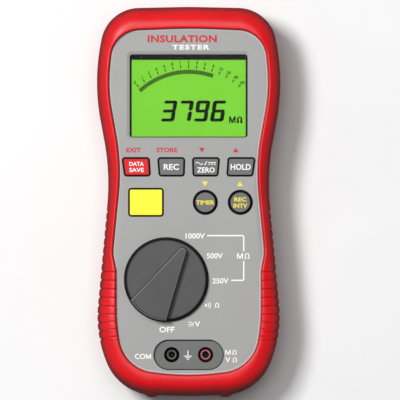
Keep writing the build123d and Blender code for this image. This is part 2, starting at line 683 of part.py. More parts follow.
with BuildPart() as range_knob:
    with BuildSketch(Plane.XY.offset(KNOB_FOOT)):
        with Locations(knob_axis):
            Circle(KNOB_RADIUS)
    extrude(amount=KNOB_DECK - KNOB_FOOT)
    fillet(range_knob.edges().group_by(Axis.Z)[-1], radius=1.2)
    with Locations(Location((KNOB_X, KNOB_Y, 0), (0, 0, -POINTER_ANGLE))):
        add(knob_pointer.part)
    with BuildSketch(Plane.XY.offset(STEM_FOOT)):
        with Locations(knob_axis):
            Circle(STEM_RADIUS)
    extrude(amount=KNOB_FOOT + 1 - STEM_FOOT)
    with BuildSketch(Plane.XY.offset(STEM_FOOT)):
        with Locations(knob_axis):
            Circle(SPINDLE_RADIUS)
    extrude(amount=SPINDLE_TOP - STEM_FOOT, mode=Mode.SUBTRACT)
finish(range_knob, "range_knob")

with BuildPart() as selector_hub:
    with BuildSketch(Plane.XY.offset(HUB_FOOT)):
        with Locations(knob_axis):
            Circle(SPINDLE_RADIUS)
    extrude(amount=SPINDLE_TOP - 0.2 - HUB_FOOT)
    with BuildSketch(Plane.XY.offset(CARRIER_TOP)):
        with Locations(knob_axis):
            Circle(HUB_FLANGE_RADIUS)
    extrude(amount=HUB_FLANGE_THICK)
    with BuildSketch(Plane.XY.offset(CLIP_BACK)):
        with Locations(knob_axis):
            Circle(SPINDLE_RADIUS + 1)
            Circle(CLIP_GROOVE, mode=Mode.SUBTRACT)
    extrude(amount=CLIP_THICK, mode=Mode.SUBTRACT)
finish(selector_hub, "selector_hub")

with BuildPart() as hub_clip:
    with BuildSketch(Plane.XY.offset(CLIP_BACK)):
        with Locations(knob_axis):
            Circle(5.0)
            Circle(CLIP_GROOVE, mode=Mode.SUBTRACT)
        with Locations((KNOB_X, KNOB_Y - 3.5)):
            Rectangle(3.4, 7, mode=Mode.SUBTRACT)
    extrude(amount=CLIP_THICK)
finish(hub_clip, "hub_clip")



def detent_plane(angle, distance):
    """The plane across one spring's bore, at that distance from the knob's axis."""
    direction = Vector(cos(radians(angle)), sin(radians(angle)), 0)
    middle = Vector(KNOB_X, KNOB_Y, (CARRIER_BACK + CARRIER_TOP) / 2)
    return Plane(origin=middle + direction * distance, z_dir=direction)


with BuildPart() as contact_carrier:
    with BuildSketch(Plane.XY.offset(CARRIER_BACK)):
        with Locations(knob_axis):
            Circle(CARRIER_RADIUS)
            Circle(SPINDLE_RADIUS, mode=Mode.SUBTRACT)
            with PolarLocations(CARRIER_HOLE_DISTANCE, 3, start_angle=DETENT_START + 60):
                Circle(CARRIER_HOLE_RADIUS, mode=Mode.SUBTRACT)
    extrude(amount=CARRIER_TOP - CARRIER_BACK)
    for angle in DETENT_ANGLES:
        with BuildSketch(detent_plane(angle, SPRING_START)):
            Circle(DETENT_BALL + RUNNING)
        extrude(amount=CARRIER_RADIUS, mode=Mode.SUBTRACT)
finish(contact_carrier, "contact_carrier")

BALL_DISTANCE = DETENT_BORE - DETENT_BALL - FIT
with BuildPart() as detent_balls:
    for angle in DETENT_ANGLES:
        with Locations(detent_plane(angle, BALL_DISTANCE).origin):
            Sphere(DETENT_BALL)
finish(detent_balls, "detent_balls")


def coil_spring(length, radius, wire, turns):
    """A round-wire compression spring that stands on the origin, along +Z."""
    with BuildPart() as spring:
        with BuildLine() as path:
            Helix(pitch=(length - 2 * wire) / turns, height=length - 2 * wire, radius=radius, center=(0, 0, wire))
        with BuildSketch(Plane(origin=path.line @ 0, z_dir=path.line % 0)):
            Circle(wire)
        sweep(is_frenet=True)
    return spring.part


detent_spring = coil_spring(BALL_DISTANCE - DETENT_BALL - FIT - SPRING_START, 0.9, 0.15, 6)
with BuildPart() as detent_springs:
    for angle in DETENT_ANGLES:
        with Locations(detent_plane(angle, SPRING_START + FIT / 2).location):
            add(detent_spring)
finish(detent_springs, "detent_springs")

with BuildPart() as detent_ring:
    with BuildSketch(Plane.XY.offset(BOARD_TOP)):
        with Locations(knob_axis):
            Circle(DETENT_BORE + 2.4)
            Circle(DETENT_BORE, mode=Mode.SUBTRACT)
            with PolarLocations(DETENT_BORE + 0.5, round(360 / DETENT_STEP), start_angle=DETENT_START):
                Circle(1.3, mode=Mode.SUBTRACT)
    extrude(amount=CARRIER_TOP - BOARD_TOP)
finish(detent_ring, "detent_ring")

wiper_back = BOARD_TOP + TRACK_GAP + WIPER_TIP_HEIGHT
with BuildPart() as switch_wipers:
    for angle in DETENT_ANGLES:
        with BuildSketch(Plane.XY.offset(wiper_back)):
            with Locations(Location((KNOB_X, KNOB_Y), DETENT_START + angle)):
                with Locations((WIPER_DISTANCE, 0)):
                    Rectangle(*WIPER_SIZE)
        extrude(amount=CARRIER_BACK - wiper_back)
        with BuildSketch(Plane.XY.offset(BOARD_TOP + TRACK_GAP)):
            with Locations(Location((KNOB_X, KNOB_Y), DETENT_START + angle)):
                with Locations((WIPER_DISTANCE, WIPER_TIP_X), (WIPER_DISTANCE, -WIPER_TIP_X)):
                    Rectangle(*WIPER_TIP)
        extrude(amount=WIPER_TIP_HEIGHT)
finish(switch_wipers, "switch_wipers")

with BuildPart() as knob_seal:
    with BuildSketch(Plane.XY.offset(SEAL_BACK)):
        with Locations(knob_axis):
            Circle(STEM_RADIUS + 2.2)
            Circle(STEM_RADIUS + RUNNING, mode=Mode.SUBTRACT)
    extrude(amount=WELL_FLOOR - WELL_THICK - SEAL_BACK)
finish(knob_seal, "knob_seal")

# ---------------------------------------------------------------- terminals
with BuildPart() as terminal_plate:
    with BuildSketch(Plane.XY.offset(TERMINAL_BACK)):
        with Locations((0, SOCKET_Y)):
            SlotOverall(TERMINAL_SIZE[0] - 2 * FIT, TERMINAL_SIZE[1] - 2 * FIT)
    extrude(amount=TERMINAL_TOP - TERMINAL_BACK)
    with BuildSketch(Plane.XY.offset(TERMINAL_BACK)):
        with Locations((0, SOCKET_Y)):
            SlotOverall(TERMINAL_SIZE[0] + 2 * TERMINAL_FLANGE, TERMINAL_SIZE[1] + 2 * TERMINAL_FLANGE)
    extrude(amount=INSIDE_FACE - TERMINAL_BACK)
    with BuildSketch(Plane.XY.offset(TERMINAL_BACK)):
        with Locations((0, SOCKET_Y)):
            with GridLocations(SOCKET_PITCH, 0, 2, 1):
                Circle(SOCKET_RADIUS)
    extrude(amount=CASE_WALL, mode=Mode.SUBTRACT)
finish(terminal_plate, "terminal_plate")

for side, name in ((-1, "com"), (1, "test")):
    socket_axis = (side * SOCKET_PITCH / 2, SOCKET_Y)
    with BuildPart() as socket:
        with BuildSketch(Plane.XY.offset(SOCKET_FLOOR - SOCKET_BASE)):
            with Locations(socket_axis):
                Circle(SOCKET_RADIUS + SOCKET_WALL)
        extrude(amount=TERMINAL_BACK - SOCKET_FLOOR + SOCKET_BASE)
        with BuildSketch(Plane.XY.offset(TERMINAL_BACK - SOCKET_COLLAR_THICK)):
            with Locations(socket_axis):
                Circle(SOCKET_RADIUS + SOCKET_WALL + SOCKET_COLLAR)
        extrude(amount=SOCKET_COLLAR_THICK)
        with BuildSketch(Plane.XY.offset(SOCKET_FLOOR)):
            with Locations(socket_axis):
                Circle(SOCKET_RADIUS)
        extrude(amount=TERMINAL_BACK, mode=Mode.SUBTRACT)
        with BuildSketch(Plane.XY.offset(SOCKET_FLOOR - 1)):
            with Locations(socket_axis):
                Circle(POST_RADIUS)
        extrude(amount=POST_TOP - SOCKET_FLOOR + 1)
        fillet(socket.edges().group_by(Axis.Z)[-1], radius=0.25)
        with BuildSketch(Plane.XY.offset(SOCKET_FLOOR - 3)):
            with Locations(socket_axis):
                Circle(CONTACT_RADIUS)
        extrude(amount=CONTACT_TOP - SOCKET_FLOOR + 3, mode=Mode.SUBTRACT)
        with BuildSketch(Plane.XY.offset(CONTACT_TOP)):
            with Locations(socket_axis):
                Circle(LEAD_IN_RADIUS)
        extrude(amount=POST_TOP, mode=Mode.SUBTRACT)
    finish(socket, f"{name}_socket")

    contact_foot = CONTACT_TOP - CONTACT_DEPTH - 1
    with BuildPart() as contact:
        with BuildSketch(Plane.XY.offset(contact_foot)):
            with Locations(socket_axis):
                Circle(CONTACT_RADIUS)
        extrude(amount=CONTACT_TOP - contact_foot)
        with BuildSketch(Plane.XY.offset(CONTACT_TOP - CONTACT_DEPTH)):
            with Locations(socket_axis):
                Circle(PIN_RADIUS)
        extrude(amount=CONTACT_DEPTH + 1, mode=Mode.SUBTRACT)
        # strap from the foot of the sleeve to the underside of the circuit board
        strap_end = BOARD_LOW + 2.5
        with BuildSketch(Plane.XY.offset(contact_foot)):
            with Locations((socket_axis[0], (SOCKET_Y + strap_end) / 2)):
                Rectangle(STRAP_WIDTH, strap_end - SOCKET_Y)
        extrude(amount=STRAP_THICK)
        with BuildSketch(Plane.XY.offset(contact_foot)):
            with Locations((socket_axis[0], strap_end - STRAP_THICK / 2)):
                Rectangle(STRAP_WIDTH, STRAP_THICK)
        extrude(amount=BOARD_BACK - contact_foot)
    finish(contact, f"{name}_contact")

# ---------------------------------------------------------------- circuit board and its parts
with BuildPart() as circuit_board:
    with BuildSketch(Plane.XY.offset(BOARD_BACK)):
        add(outer_sketch(BOARD_INSET))
        with Locations((0, (BOARD_LOW + BOARD_HIGH) / 2)):
            Rectangle(120, BOARD_HIGH - BOARD_LOW, mode=Mode.INTERSECT)
        with Locations(*CASE_SCREWS):
            Circle(BOSS_RADIUS + 1, mode=Mode.SUBTRACT)
        with Locations(*BOARD_SCREWS):
            Circle(BOARD_SCREW_RADIUS + 0.1, mode=Mode.SUBTRACT)
        with Locations(knob_axis):
            Circle(SPINDLE_RADIUS + RUNNING, mode=Mode.SUBTRACT)
    extrude(amount=BOARD_THICK)
finish(circuit_board, "circuit_board")


def hung_box(x, y, width, depth, height):
    """A box that hangs from the underside of the circuit board."""
    with BuildPart() as box:
        with BuildSketch(Plane.XY.offset(BOARD_BACK - height)):
            with Locations((x, y)):
                RectangleRounded(width, depth, 0.4)
        extrude(amount=height)
    return box.part


CORE_X, CORE_Y = 22.0, -31.0
CORE_SIZE = (26.0, 22.0)
CORE_THICK = 8.0
CORE_HANG = 16.0  # from the board to the core's back
CORE_LEG = 7.0
CORE_WINDOW = 4.2
COIL_GAP = 0.15
core_back = BOARD_BACK - CORE_HANG
with BuildPart() as transformer_core:
    with BuildSketch(Plane.XY.offset(core_back)):
        with Locations((CORE_X, CORE_Y)):
            Rectangle(*CORE_SIZE)
            with GridLocations(CORE_LEG + CORE_WINDOW, 0, 2, 1):
                Rectangle(CORE_WINDOW, CORE_SIZE[1] - CORE_LEG, mode=Mode.SUBTRACT)
    extrude(amount=CORE_THICK)
finish(transformer_core, "transformer_core")

with BuildPart() as transformer_coil:
    with BuildSketch(Plane.XZ.offset(-CORE_Y)) as coil_section:
        with Locations((CORE_X, core_back + CORE_THICK / 2)):
            coil_build = CORE_WINDOW - COIL_GAP
            RectangleRounded(CORE_LEG + 2 * coil_build, CORE_THICK + 2 * coil_build, 2)
            Rectangle(CORE_LEG + 2 * COIL_GAP, CORE_THICK + 2 * COIL_GAP, mode=Mode.SUBTRACT)
    extrude(amount=(CORE_SIZE[1] - CORE_LEG) / 2 - COIL_GAP, both=True)
    # pins to the board
    pin_start = core_back + CORE_THICK + CORE_WINDOW - 1
    with BuildSketch(Plane.XY.offset(pin_start)):
        with Locations((CORE_X, CORE_Y)):
            with GridLocations(8, 10, 2, 2):
                Circle(0.5)
    extrude(amount=BOARD_BACK - pin_start)
finish(transformer_coil, "transformer_coil")

with BuildPart() as hv_capacitors:
    for x in (-31, -21, -11):
        add(hung_box(x, 21, 7, 13, 11.5))
finish(hv_capacitors, "hv_capacitors")

with BuildPart() as relay:
    add(hung_box(-31, -14, 10, 20, 11))
finish(relay, "relay")


LEAD_RADIUS = 0.3


def axial_part(x, y, half_body, radius, half_lead, height):
    """A cylinder along Y below the board with a wire from each end up to the board."""
    axis_z = BOARD_BACK - height
    with BuildPart() as component:
        with BuildSketch(Plane.XZ.offset(-y)):
            with Locations((x, axis_z)):
                Circle(radius)
        extrude(amount=half_body, both=True)
        with BuildSketch(Plane.XZ.offset(-y)):
            with Locations((x, axis_z)):
                Circle(LEAD_RADIUS)
        extrude(amount=half_lead, both=True)
        with BuildSketch(Plane.XY.offset(axis_z - LEAD_RADIUS)):
            with Locations((x, y - half_lead + LEAD_RADIUS), (x, y + half_lead - LEAD_RADIUS)):
                Circle(LEAD_RADIUS)
        extrude(amount=height + LEAD_RADIUS)
    return component.part


with BuildPart() as input_resistors:
    for i in range(5):
        add(axial_part(-4 + 5 * i, 4, 5.0, 1.7, 7.5, 2.6))
finish(input_resistors, "input_resistors")

with BuildPart() as processor_chip:
    add(hung_box(-2, -13, 14, 14, 1.5))
    with BuildSketch(Plane.XY.offset(BOARD_BACK - 0.4)):
        with Locations((-2, -13)):
            with GridLocations(1.2, 16, 11, 2):
                Rectangle(0.5, 2.2)
            with GridLocations(16, 1.2, 2, 11):
                Rectangle(2.2, 0.5)
    extrude(amount=0.4)
finish(processor_chip, "processor_chip")

with BuildPart() as measuring_chips:
    for x, y in ((-30, 45), (-10, 52), (14, 47), (30, 66)):
        add(hung_box(x, y, 8, 5, 1.6))
        with BuildSketch(Plane.XY.offset(BOARD_BACK - 0.4)):
            with Locations((x, y)):
                with GridLocations(1.5, 5.6, 5, 2):
                    Rectangle(0.5, 1.6)
        extrude(amount=0.4)
finish(measuring_chips, "measuring_chips")

FUSE_X, FUSE_Y, FUSE_Z = 17.0, -61.0, 28.0
FUSE_LENGTH, FUSE_RADIUS, CAP_RADIUS, CAP_LENGTH = 32.0, 2.85, 3.15, 6.0
with BuildPart() as fuse:
    with BuildSketch(Plane.YZ.offset(FUSE_X)):
        with Locations((FUSE_Y, FUSE_Z)):
            Circle(FUSE_RADIUS)
    extrude(amount=FUSE_LENGTH / 2, both=True)
    for side in (-1, 1):
        with BuildSketch(Plane.YZ.offset(FUSE_X + side * (FUSE_LENGTH - CAP_LENGTH) / 2)):
            with Locations((FUSE_Y, FUSE_Z)):
                Circle(CAP_RADIUS)
        extrude(amount=CAP_LENGTH / 2, both=True)
finish(fuse, "fuse")

with BuildPart() as fuse_clips:
    for side in (-1, 1):
        with BuildSketch(Plane.YZ.offset(FUSE_X + side * (FUSE_LENGTH - CAP_LENGTH) / 2)):
            with Locations((FUSE_Y, (FUSE_Z + BOARD_BACK) / 2)):
                Rectangle(2 * CAP_RADIUS + 1, BOARD_BACK - FUSE_Z)
            with Locations((FUSE_Y, FUSE_Z)):
                Circle(CAP_RADIUS + 0.5)
                Circle(CAP_RADIUS, mode=Mode.SUBTRACT)
            with Locations((FUSE_Y, (FUSE_Z + BOARD_BACK) / 2 - 0.25)):
                Rectangle(2 * CAP_RADIUS, BOARD_BACK - FUSE_Z - 0.5, mode=Mode.SUBTRACT)
            with Locations((FUSE_Y, FUSE_Z - CAP_RADIUS)):
                Rectangle(3.4, 3, mode=Mode.SUBTRACT)
        extrude(amount=2, both=True)
finish(fuse_clips, "fuse_clips")

BUZZER_PLACE, BUZZER_HEIGHT = (29.0, 21.0), 7.0
with BuildPart() as buzzer:
    with BuildSketch(Plane.XY.offset(BOARD_BACK - BUZZER_HEIGHT)):
        with Locations(BUZZER_PLACE):
            Circle(6.5)
    extrude(amount=BUZZER_HEIGHT)
    fillet(buzzer.edges().group_by(Axis.Z)[0], radius=0.6)
    with BuildSketch(Plane.XY.offset(BOARD_BACK - BUZZER_HEIGHT)):
        with Locations(BUZZER_PLACE):
            Circle(1.2)
    extrude(amount=3, mode=Mode.SUBTRACT)
finish(buzzer, "buzzer")

# ---------------------------------------------------------------- batteries
PLATE = 0.4
CELL_BUTTON_RADIUS, CELL_BUTTON_HEIGHT = 2.7, 1.2
cell_foot = BATTERY_MIDDLE - BATTERY_LENGTH / 2
for i, x in enumerate(BATTERY_XS):
    way = 1 if i % 2 == 0 else -1
    with BuildPart() as cell:
        with BuildSketch(Plane.XZ.offset(-BATTERY_MIDDLE)):
            with Locations((x, BATTERY_Z)):
                Circle(BATTERY_RADIUS)
        extrude(amount=BATTERY_LENGTH / 2, both=True)
        fillet(cell.edges().filter_by(GeomType.CIRCLE), radius=0.6)
        with BuildSketch(Plane.XZ.offset(-BATTERY_MIDDLE - way * BATTERY_LENGTH / 2)):
            with Locations((x, BATTERY_Z)):
                Circle(CELL_BUTTON_RADIUS)
        extrude(amount=-way * CELL_BUTTON_HEIGHT)
    finish(cell, f"battery_cell_{i + 1}")

with BuildPart() as battery_contacts:
    for y in (BAY_LOW + PLATE / 2 + 0.05, BAY_HIGH - PLATE / 2 - 0.05):
        for x in BATTERY_XS:
            with Locations((x, y, BATTERY_Z)):
                Box(11, PLATE, 11)
finish(battery_contacts, "battery_contacts")

battery_spring = coil_spring(cell_foot - BAY_LOW - PLATE - FIT, 3.0, 0.35, 2)
with BuildPart() as battery_springs:
    for i, x in enumerate(BATTERY_XS):
        way = 1 if i % 2 == 0 else -1
        start = Vector(x, BATTERY_MIDDLE - way * (BATTERY_LENGTH / 2 + 0.02), BATTERY_Z)
        with Locations(Plane(origin=start, z_dir=(0, -way, 0)).location):
            add(battery_spring)
finish(battery_springs, "battery_springs")

LEAD_X, LEAD_WIRE_RADIUS = 15.0, 0.75
with BuildPart() as battery_leads:
    for side in (-1, 1):
        with BuildLine() as route:
            FilletPolyline(
                (side * LEAD_X, BAY_LOW - BAY_WALL - 1.2, 10.5),
                (side * LEAD_X, BAY_LOW - BAY_WALL - 1.2, 24),
                (side * LEAD_X, BAY_LOW + 3, 27),
                (side * LEAD_X, BAY_LOW + 3, BOARD_BACK),
                radius=2.4,
            )
        with BuildSketch(Plane(origin=route.line @ 0, z_dir=route.line % 0)):
            Circle(LEAD_WIRE_RADIUS)
        sweep()
finish(battery_leads, "battery_leads")
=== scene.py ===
import json
import math

import bmesh
import bpy
import numpy as np
from mathutils import Matrix, Vector


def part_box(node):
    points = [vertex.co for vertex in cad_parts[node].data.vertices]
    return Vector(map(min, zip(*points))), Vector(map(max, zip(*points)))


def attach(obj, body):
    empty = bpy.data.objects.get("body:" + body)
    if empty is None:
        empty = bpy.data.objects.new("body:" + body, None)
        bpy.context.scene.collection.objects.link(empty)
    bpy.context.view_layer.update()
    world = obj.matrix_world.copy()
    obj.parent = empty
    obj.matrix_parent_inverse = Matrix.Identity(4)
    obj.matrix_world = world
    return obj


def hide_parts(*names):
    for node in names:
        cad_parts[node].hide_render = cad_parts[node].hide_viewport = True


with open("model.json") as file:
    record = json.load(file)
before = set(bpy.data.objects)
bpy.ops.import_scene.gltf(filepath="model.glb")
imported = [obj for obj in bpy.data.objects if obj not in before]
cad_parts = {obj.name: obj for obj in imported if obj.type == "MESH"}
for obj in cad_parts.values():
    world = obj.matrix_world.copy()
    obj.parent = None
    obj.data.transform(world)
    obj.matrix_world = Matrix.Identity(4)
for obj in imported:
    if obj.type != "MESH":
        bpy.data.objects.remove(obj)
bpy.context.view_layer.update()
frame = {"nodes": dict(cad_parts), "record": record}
NODES = frame["nodes"]

# ---------------------------------------------------------------- sizes, in millimetres
MM = 0.001
FACE = 45.0  # height of the grey face
OUTER_CORNERS = [(0, 110), (45.8, 109), (53.8, 67.9), (44.2, 16.4), (52.6, -73.8), (39.6, -108), (0, -109.8)]
OUTER_RADII = [300, 21.8, 117.2, 131.4, 68.1, 29.1, 300]
OPENING_CORNERS = [
    (0, 97.9),
    (42.2, 96.2),
    (45.6, 64.5),
    (37.8, 20.9),
    (42.7, -28.5),
    (40.7, -38.4),
    (40.7, -68.8),
    (36.2, -93.9),
    (0, -98.2),
]
OPENING_RADII = [300, 16.5, 90.4, 121.4, 19.1, 19.4, 103.2, 21.5, 135]
BACK_LIP = 12.0  # how far the holster reaches in over the back
BACK_ROUND = 7.0  # the round at its back edge
WALL = 3.1  # its thickness along its sides
SHOULDER = 38.0  # height where its side begins to turn over to the front
CROWN = 10.0  # how far it turns over, both in and up
RIM_EDGE = 1.3  # the round at its opening
LIP_POINTS = 4  # points of its section on the back lip's edge, which stay where they are
CASE_INSET = 3.2  # from the holster's outline to the case's
CASE_ROUND = 5.5  # the round at the case's front edge
GRIP_FROM = 30.0  # the grip grooves lie further than this from the middle
GROOVE_PITCH = 4.8
LOWEST_GROOVE = -77.5
SIDE_GROOVES = 16
FRONT_GROOVES = 9
FLANK_GROOVE_DEPTH = 0.75
FRONT_GROOVE_DEPTH = 0.3
GROOVE_HALF_WIDTH = 0.36
BULGE = 0.3  # how far a band stands out between two grooves
UPPER_FADE = (36.0, 8.0)  # height where the side's own grooves begin to fade, and over how much
LOWER_FADE = (5.0, 4.0)  # height where all grooves begin, and over how much
FLANK_WIDTH = 2.5  # how far in the side's grooves reach over the shoulder
FOOT_X = 21.0
FOOT_HALF_WIDTH = 3.1
FOOT_DEPTH = 1.25
FOOT_LOW, FOOT_HIGH = 9.0, 42.0
FOOT_REACH = 6.0  # how far in the feet fade out over the shoulder
LOWER_END = -95.0  # only the holster's lower end lies below this
LEAN_WIDTH = 8.0  # how far in a push outwards has turned into a push down
LOWER_END_SHADE = (-100.0, -80.0)  # Y below which the lower end's painted shade is full, and where it ends
EDGE_MARGIN = 0.02  # keeps the finely divided outline inside the CAD model's
KNOB = (-12.6, -43.7)
KNOB_RADIUS = (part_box("range_knob")[1].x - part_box("range_knob")[0].x) / 2 / MM
KNOB_RIM = (1.7, 0.8)  # how far in from its edge the knob's painted shade on its rim begins, and is full
KNOB_EDGE = 48.93  # height below which the knob's edge, where it rolls away, has painted shade
POINTER_EDGE = 53.2  # height above which the pointer's upper edge has a painted highlight
KEY_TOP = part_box("key_hold")[1].z / MM
KEY_EDGE = KEY_TOP - 0.08  # height below which a key's edge, where it rolls away, has painted shade
SOCKET_EDGE = 42.2  # height below which a socket's edge, where it rolls away, has painted shade
SLEEVE_MOUTH = (40.4, 41.2)  # heights between which a sleeve turns from painted shade down its bore to its own bright metal
SOCKET_Y = -86.0
# low-lying parts of the face left grey, not painted black as shade: beyond the keys, below the knob, and away
# from the sockets
KEYS_TOP = 26.2
KEYS_SIDE = ((10.0, 36.2), (26.0, 38.4))  # Y and X of the two ends of the slanted limit
WELL_BOTTOM = -69.2
TERMINAL_BOX = (20.5, -95.0, -77.0)  # half its width, its bottom and its top
TERMINAL_HALF_SPAN, TERMINAL_RADIUS = 11.25, 8.6


# ---------------------------------------------------------------- materials
def nodes_of(name):
    """A new node material with its Principled shader, tree and object coordinates."""
    mat = bpy.data.materials.new(name)
    mat.use_nodes = True
    tree = mat.node_tree
    shader = tree.nodes["Principled BSDF"]
    coords = tree.nodes.new("ShaderNodeTexCoord")
    return mat, tree, shader, coords.outputs["Object"]


def noise(tree, place, scale, detail=3.0, roughness=0.55):
    """A noise value, from 0 to 1, at that many features a metre."""
    node = tree.nodes.new("ShaderNodeTexNoise")
    node.inputs["Scale"].default_value = scale
    node.inputs["Detail"].default_value = detail
    node.inputs["Roughness"].default_value = roughness
    tree.links.new(place, node.inputs["Vector"])
    return node.outputs["Fac"]


def ramp(tree, value, low, high, low_out, high_out):
    """A value held between low and high, and spread between low_out and high_out."""
    node = tree.nodes.new("ShaderNodeMapRange")
    for socket, number in zip(("From Min", "From Max", "To Min", "To Max"), (low, high, low_out, high_out)):
        node.inputs[socket].default_value = number
    tree.links.new(value, node.inputs["Value"])
    return node.outputs["Result"]


def patches(tree, place, scale, detail, low_out=0.0, high_out=1.0):
    """Soft patches: a noise with its middle range spread between two values."""
    return ramp(tree, noise(tree, place, scale, detail), 0.3, 0.7, low_out, high_out)


def mixed(tree, factor, first, second):
    """Two colours, or sockets, mixed by factor."""
    node = tree.nodes.new("ShaderNodeMix")
    node.data_type = "RGBA"
    tree.links.new(factor, node.inputs["Factor"])
    for socket, value in (("A", first), ("B", second)):
        target = next(s for s in node.inputs if s.identifier == f"{socket}_Color")
        if isinstance(value, tuple):
            target.default_value = (*value, 1.0)
        else:
            tree.links.new(value, target)
    return next(s for s in node.outputs if s.identifier == "Result_Color")


def bumped(tree, shader, heights):
    """Chains bumps of (height socket, depth in metres) into the shader's normal."""
    normal = None
    for height, depth in heights:
        node = tree.nodes.new("ShaderNodeBump")
        node.inputs["Distance"].default_value = depth
        tree.links.new(height, node.inputs["Height"])
        if normal is not None:
            tree.links.new(normal, node.inputs["Normal"])
        normal = node.outputs["Normal"]
    tree.links.new(normal, shader.inputs["Normal"])


def shade(color, factor):
    """A colour made lighter or darker by a factor."""
    return tuple(min(1.0, c * factor) for c in color)


def coordinate(tree, place, axis="Z"):
    """One coordinate of the object's own space, in metres."""
    split = tree.nodes.new("ShaderNodeSeparateXYZ")
    tree.links.new(place, split.inputs["Vector"])
    return split.outputs[axis]


def combined(tree, operation, first, second=None):
    """Two values put together by a math node."""
    node = tree.nodes.new("ShaderNodeMath")
    node.operation = operation
    for socket, value in zip(node.inputs, (first, second)):
        if isinstance(value, (int, float)):
            socket.default_value = value
        elif value is not None:
            tree.links.new(value, socket)
    return node.outputs["Value"]


def diagonal(tree, first, second):
    """The distance covered by going first one way and second at right angles to it."""
    squares = [combined(tree, "MULTIPLY", value, value) for value in (first, second)]
    return combined(tree, "SQRT", combined(tree, "ADD", *squares))


def facing_up(tree):
    """How far the surface faces straight up or down, from 0 to 1, in the object's own space."""
    coords = tree.nodes.new("ShaderNodeTexCoord")
    return combined(tree, "ABSOLUTE", coordinate(tree, coords.outputs["Normal"]))


def moulded(name, color, rough=0.5, spread=0.1, grain=2600, grain_depth=0.00004, mottle=45, contrast=0.06,
            specular=0.5):
    """Moulded plastic or rubber: a slow mottle in its colour, a fine grain, and uneven gloss."""
    mat, tree, shader, place = nodes_of(name)
    factor = patches(tree, place, mottle, 4.0)
    color_out = mixed(tree, factor, shade(color, 1 - contrast), shade(color, 1 + contrast))
    tree.links.new(color_out, shader.inputs["Base Color"])
    gloss = patches(tree, place, mottle * 6, 3.0, rough - spread / 2, rough + spread / 2)
    tree.links.new(gloss, shader.inputs["Roughness"])
    shader.inputs["Specular IOR Level"].default_value = specular
    bumped(tree, shader, [(noise(tree, place, grain, 2.0), grain_depth)])
    return mat


def metal(name, color, rough=0.3):
    """Bright metal with faint scratches and uneven gloss."""
    mat, tree, shader, place = nodes_of(name)
    streaks = noise(tree, place, 900, 4.0, 0.7)
    color_out = mixed(tree, patches(tree, place, 120, 3.0), shade(color, 0.86), shade(color, 1.08))
    tree.links.new(color_out, shader.inputs["Base Color"])
    tree.links.new(ramp(tree, streaks, 0.3, 0.7, rough - 0.06, rough + 0.06), shader.inputs["Roughness"])
    shader.inputs["Metallic"].default_value = 1.0
    bumped(tree, shader, [(streaks, 0.00002)])
    return mat


def groove_line_shade(tree, place, up):
    """How strongly the painted shade of a grip groove's dark line shows at a place; up tells the front from
    the side.
    """
    across = combined(tree, "ABSOLUTE", coordinate(tree, place, "X"))
    from_lowest = combined(tree, "SUBTRACT", coordinate(tree, place, "Y"), LOWEST_GROOVE * MM)
    steps = combined(tree, "DIVIDE", from_lowest, GROOVE_PITCH * MM)
    off_groove = combined(tree, "ABSOLUTE", combined(tree, "SUBTRACT", steps, combined(tree, "ROUND", steps)))
    line = ramp(tree, off_groove, 0.03, 0.08, 0.5, 0.0)
    last_step = ramp(tree, up, 0.45, 0.6, SIDE_GROOVES - 0.5, FRONT_GROOVES - 0.5)
    above_first = combined(tree, "GREATER_THAN", steps, -0.5)
    gripped = combined(tree, "MULTIPLY", above_first, combined(tree, "LESS_THAN", steps, last_step))
    gripped = combined(tree, "MULTIPLY", gripped, combined(tree, "GREATER_THAN", across, GRIP_FROM * MM))
    return combined(tree, "MULTIPLY", line, gripped)


def lower_end_shade(tree, place, slow):
    """How much painted shade darkens the holster at a place on its lower end, from 0 to 0.8, most where it
    faces down.
    """
    normals = tree.nodes.new("ShaderNodeTexCoord")
    downward = combined(tree, "MULTIPLY", coordinate(tree, normals.outputs["Normal"], "Y"), -1.0)
    uneven = combined(tree, "ADD", downward, ramp(tree, slow, 0.0, 1.0, -0.05, 0.05))
    at_end = ramp(tree, coordinate(tree, place, "Y"), LOWER_END_SHADE[0] * MM, LOWER_END_SHADE[1] * MM, 1.0, 0.0)
    return combined(tree, "MULTIPLY", ramp(tree, uneven, 0.3, 0.8, 0.0, 0.8), at_end)


def holster_material():
    """Bright soft rubber, duller down its flanks, with painted shade darkening its flanks, its grooves and
    its lower end.
    """
    mat, tree, shader, place = nodes_of("holster_rubber")
    slow = patches(tree, place, 30, 4.0)
    bright = mixed(tree, slow, (0.67, 0.006, 0.010), (0.73, 0.007, 0.013))
    # painted shade: the darker red the flanks take where they face sideways
    flank_shade = mixed(tree, slow, (0.19, 0.0023, 0.0036), (0.23, 0.0028, 0.0046))
    up = facing_up(tree)
    uneven = combined(tree, "ADD", up, patches(tree, place, 160, 3.0, -0.03, 0.03))
    flank_shaded = mixed(tree, ramp(tree, uneven, 0.36, 0.88, 0.0, 1.0), flank_shade, bright)
    # painted shade darkening the grip grooves
    with_groove_shade = mixed(tree, groove_line_shade(tree, place, up), flank_shaded, (0.09, 0.001, 0.002))
    # painted shade on the lower end, where it faces down
    color_out = mixed(tree, lower_end_shade(tree, place, slow), with_groove_shade, (0.05, 0.0012, 0.0018))
    tree.links.new(color_out, shader.inputs["Base Color"])
    shader.inputs["Specular IOR Level"].default_value = 0.3
    patchy = patches(tree, place, 180, 3.0, -0.045, 0.045)
    gloss = combined(tree, "ADD", ramp(tree, up, 0.5, 0.95, 0.85, 0.38), patchy)
    tree.links.new(gloss, shader.inputs["Roughness"])
    bumped(tree, shader, [(noise(tree, place, 1800, 2.0), 0.00003)])
    return mat


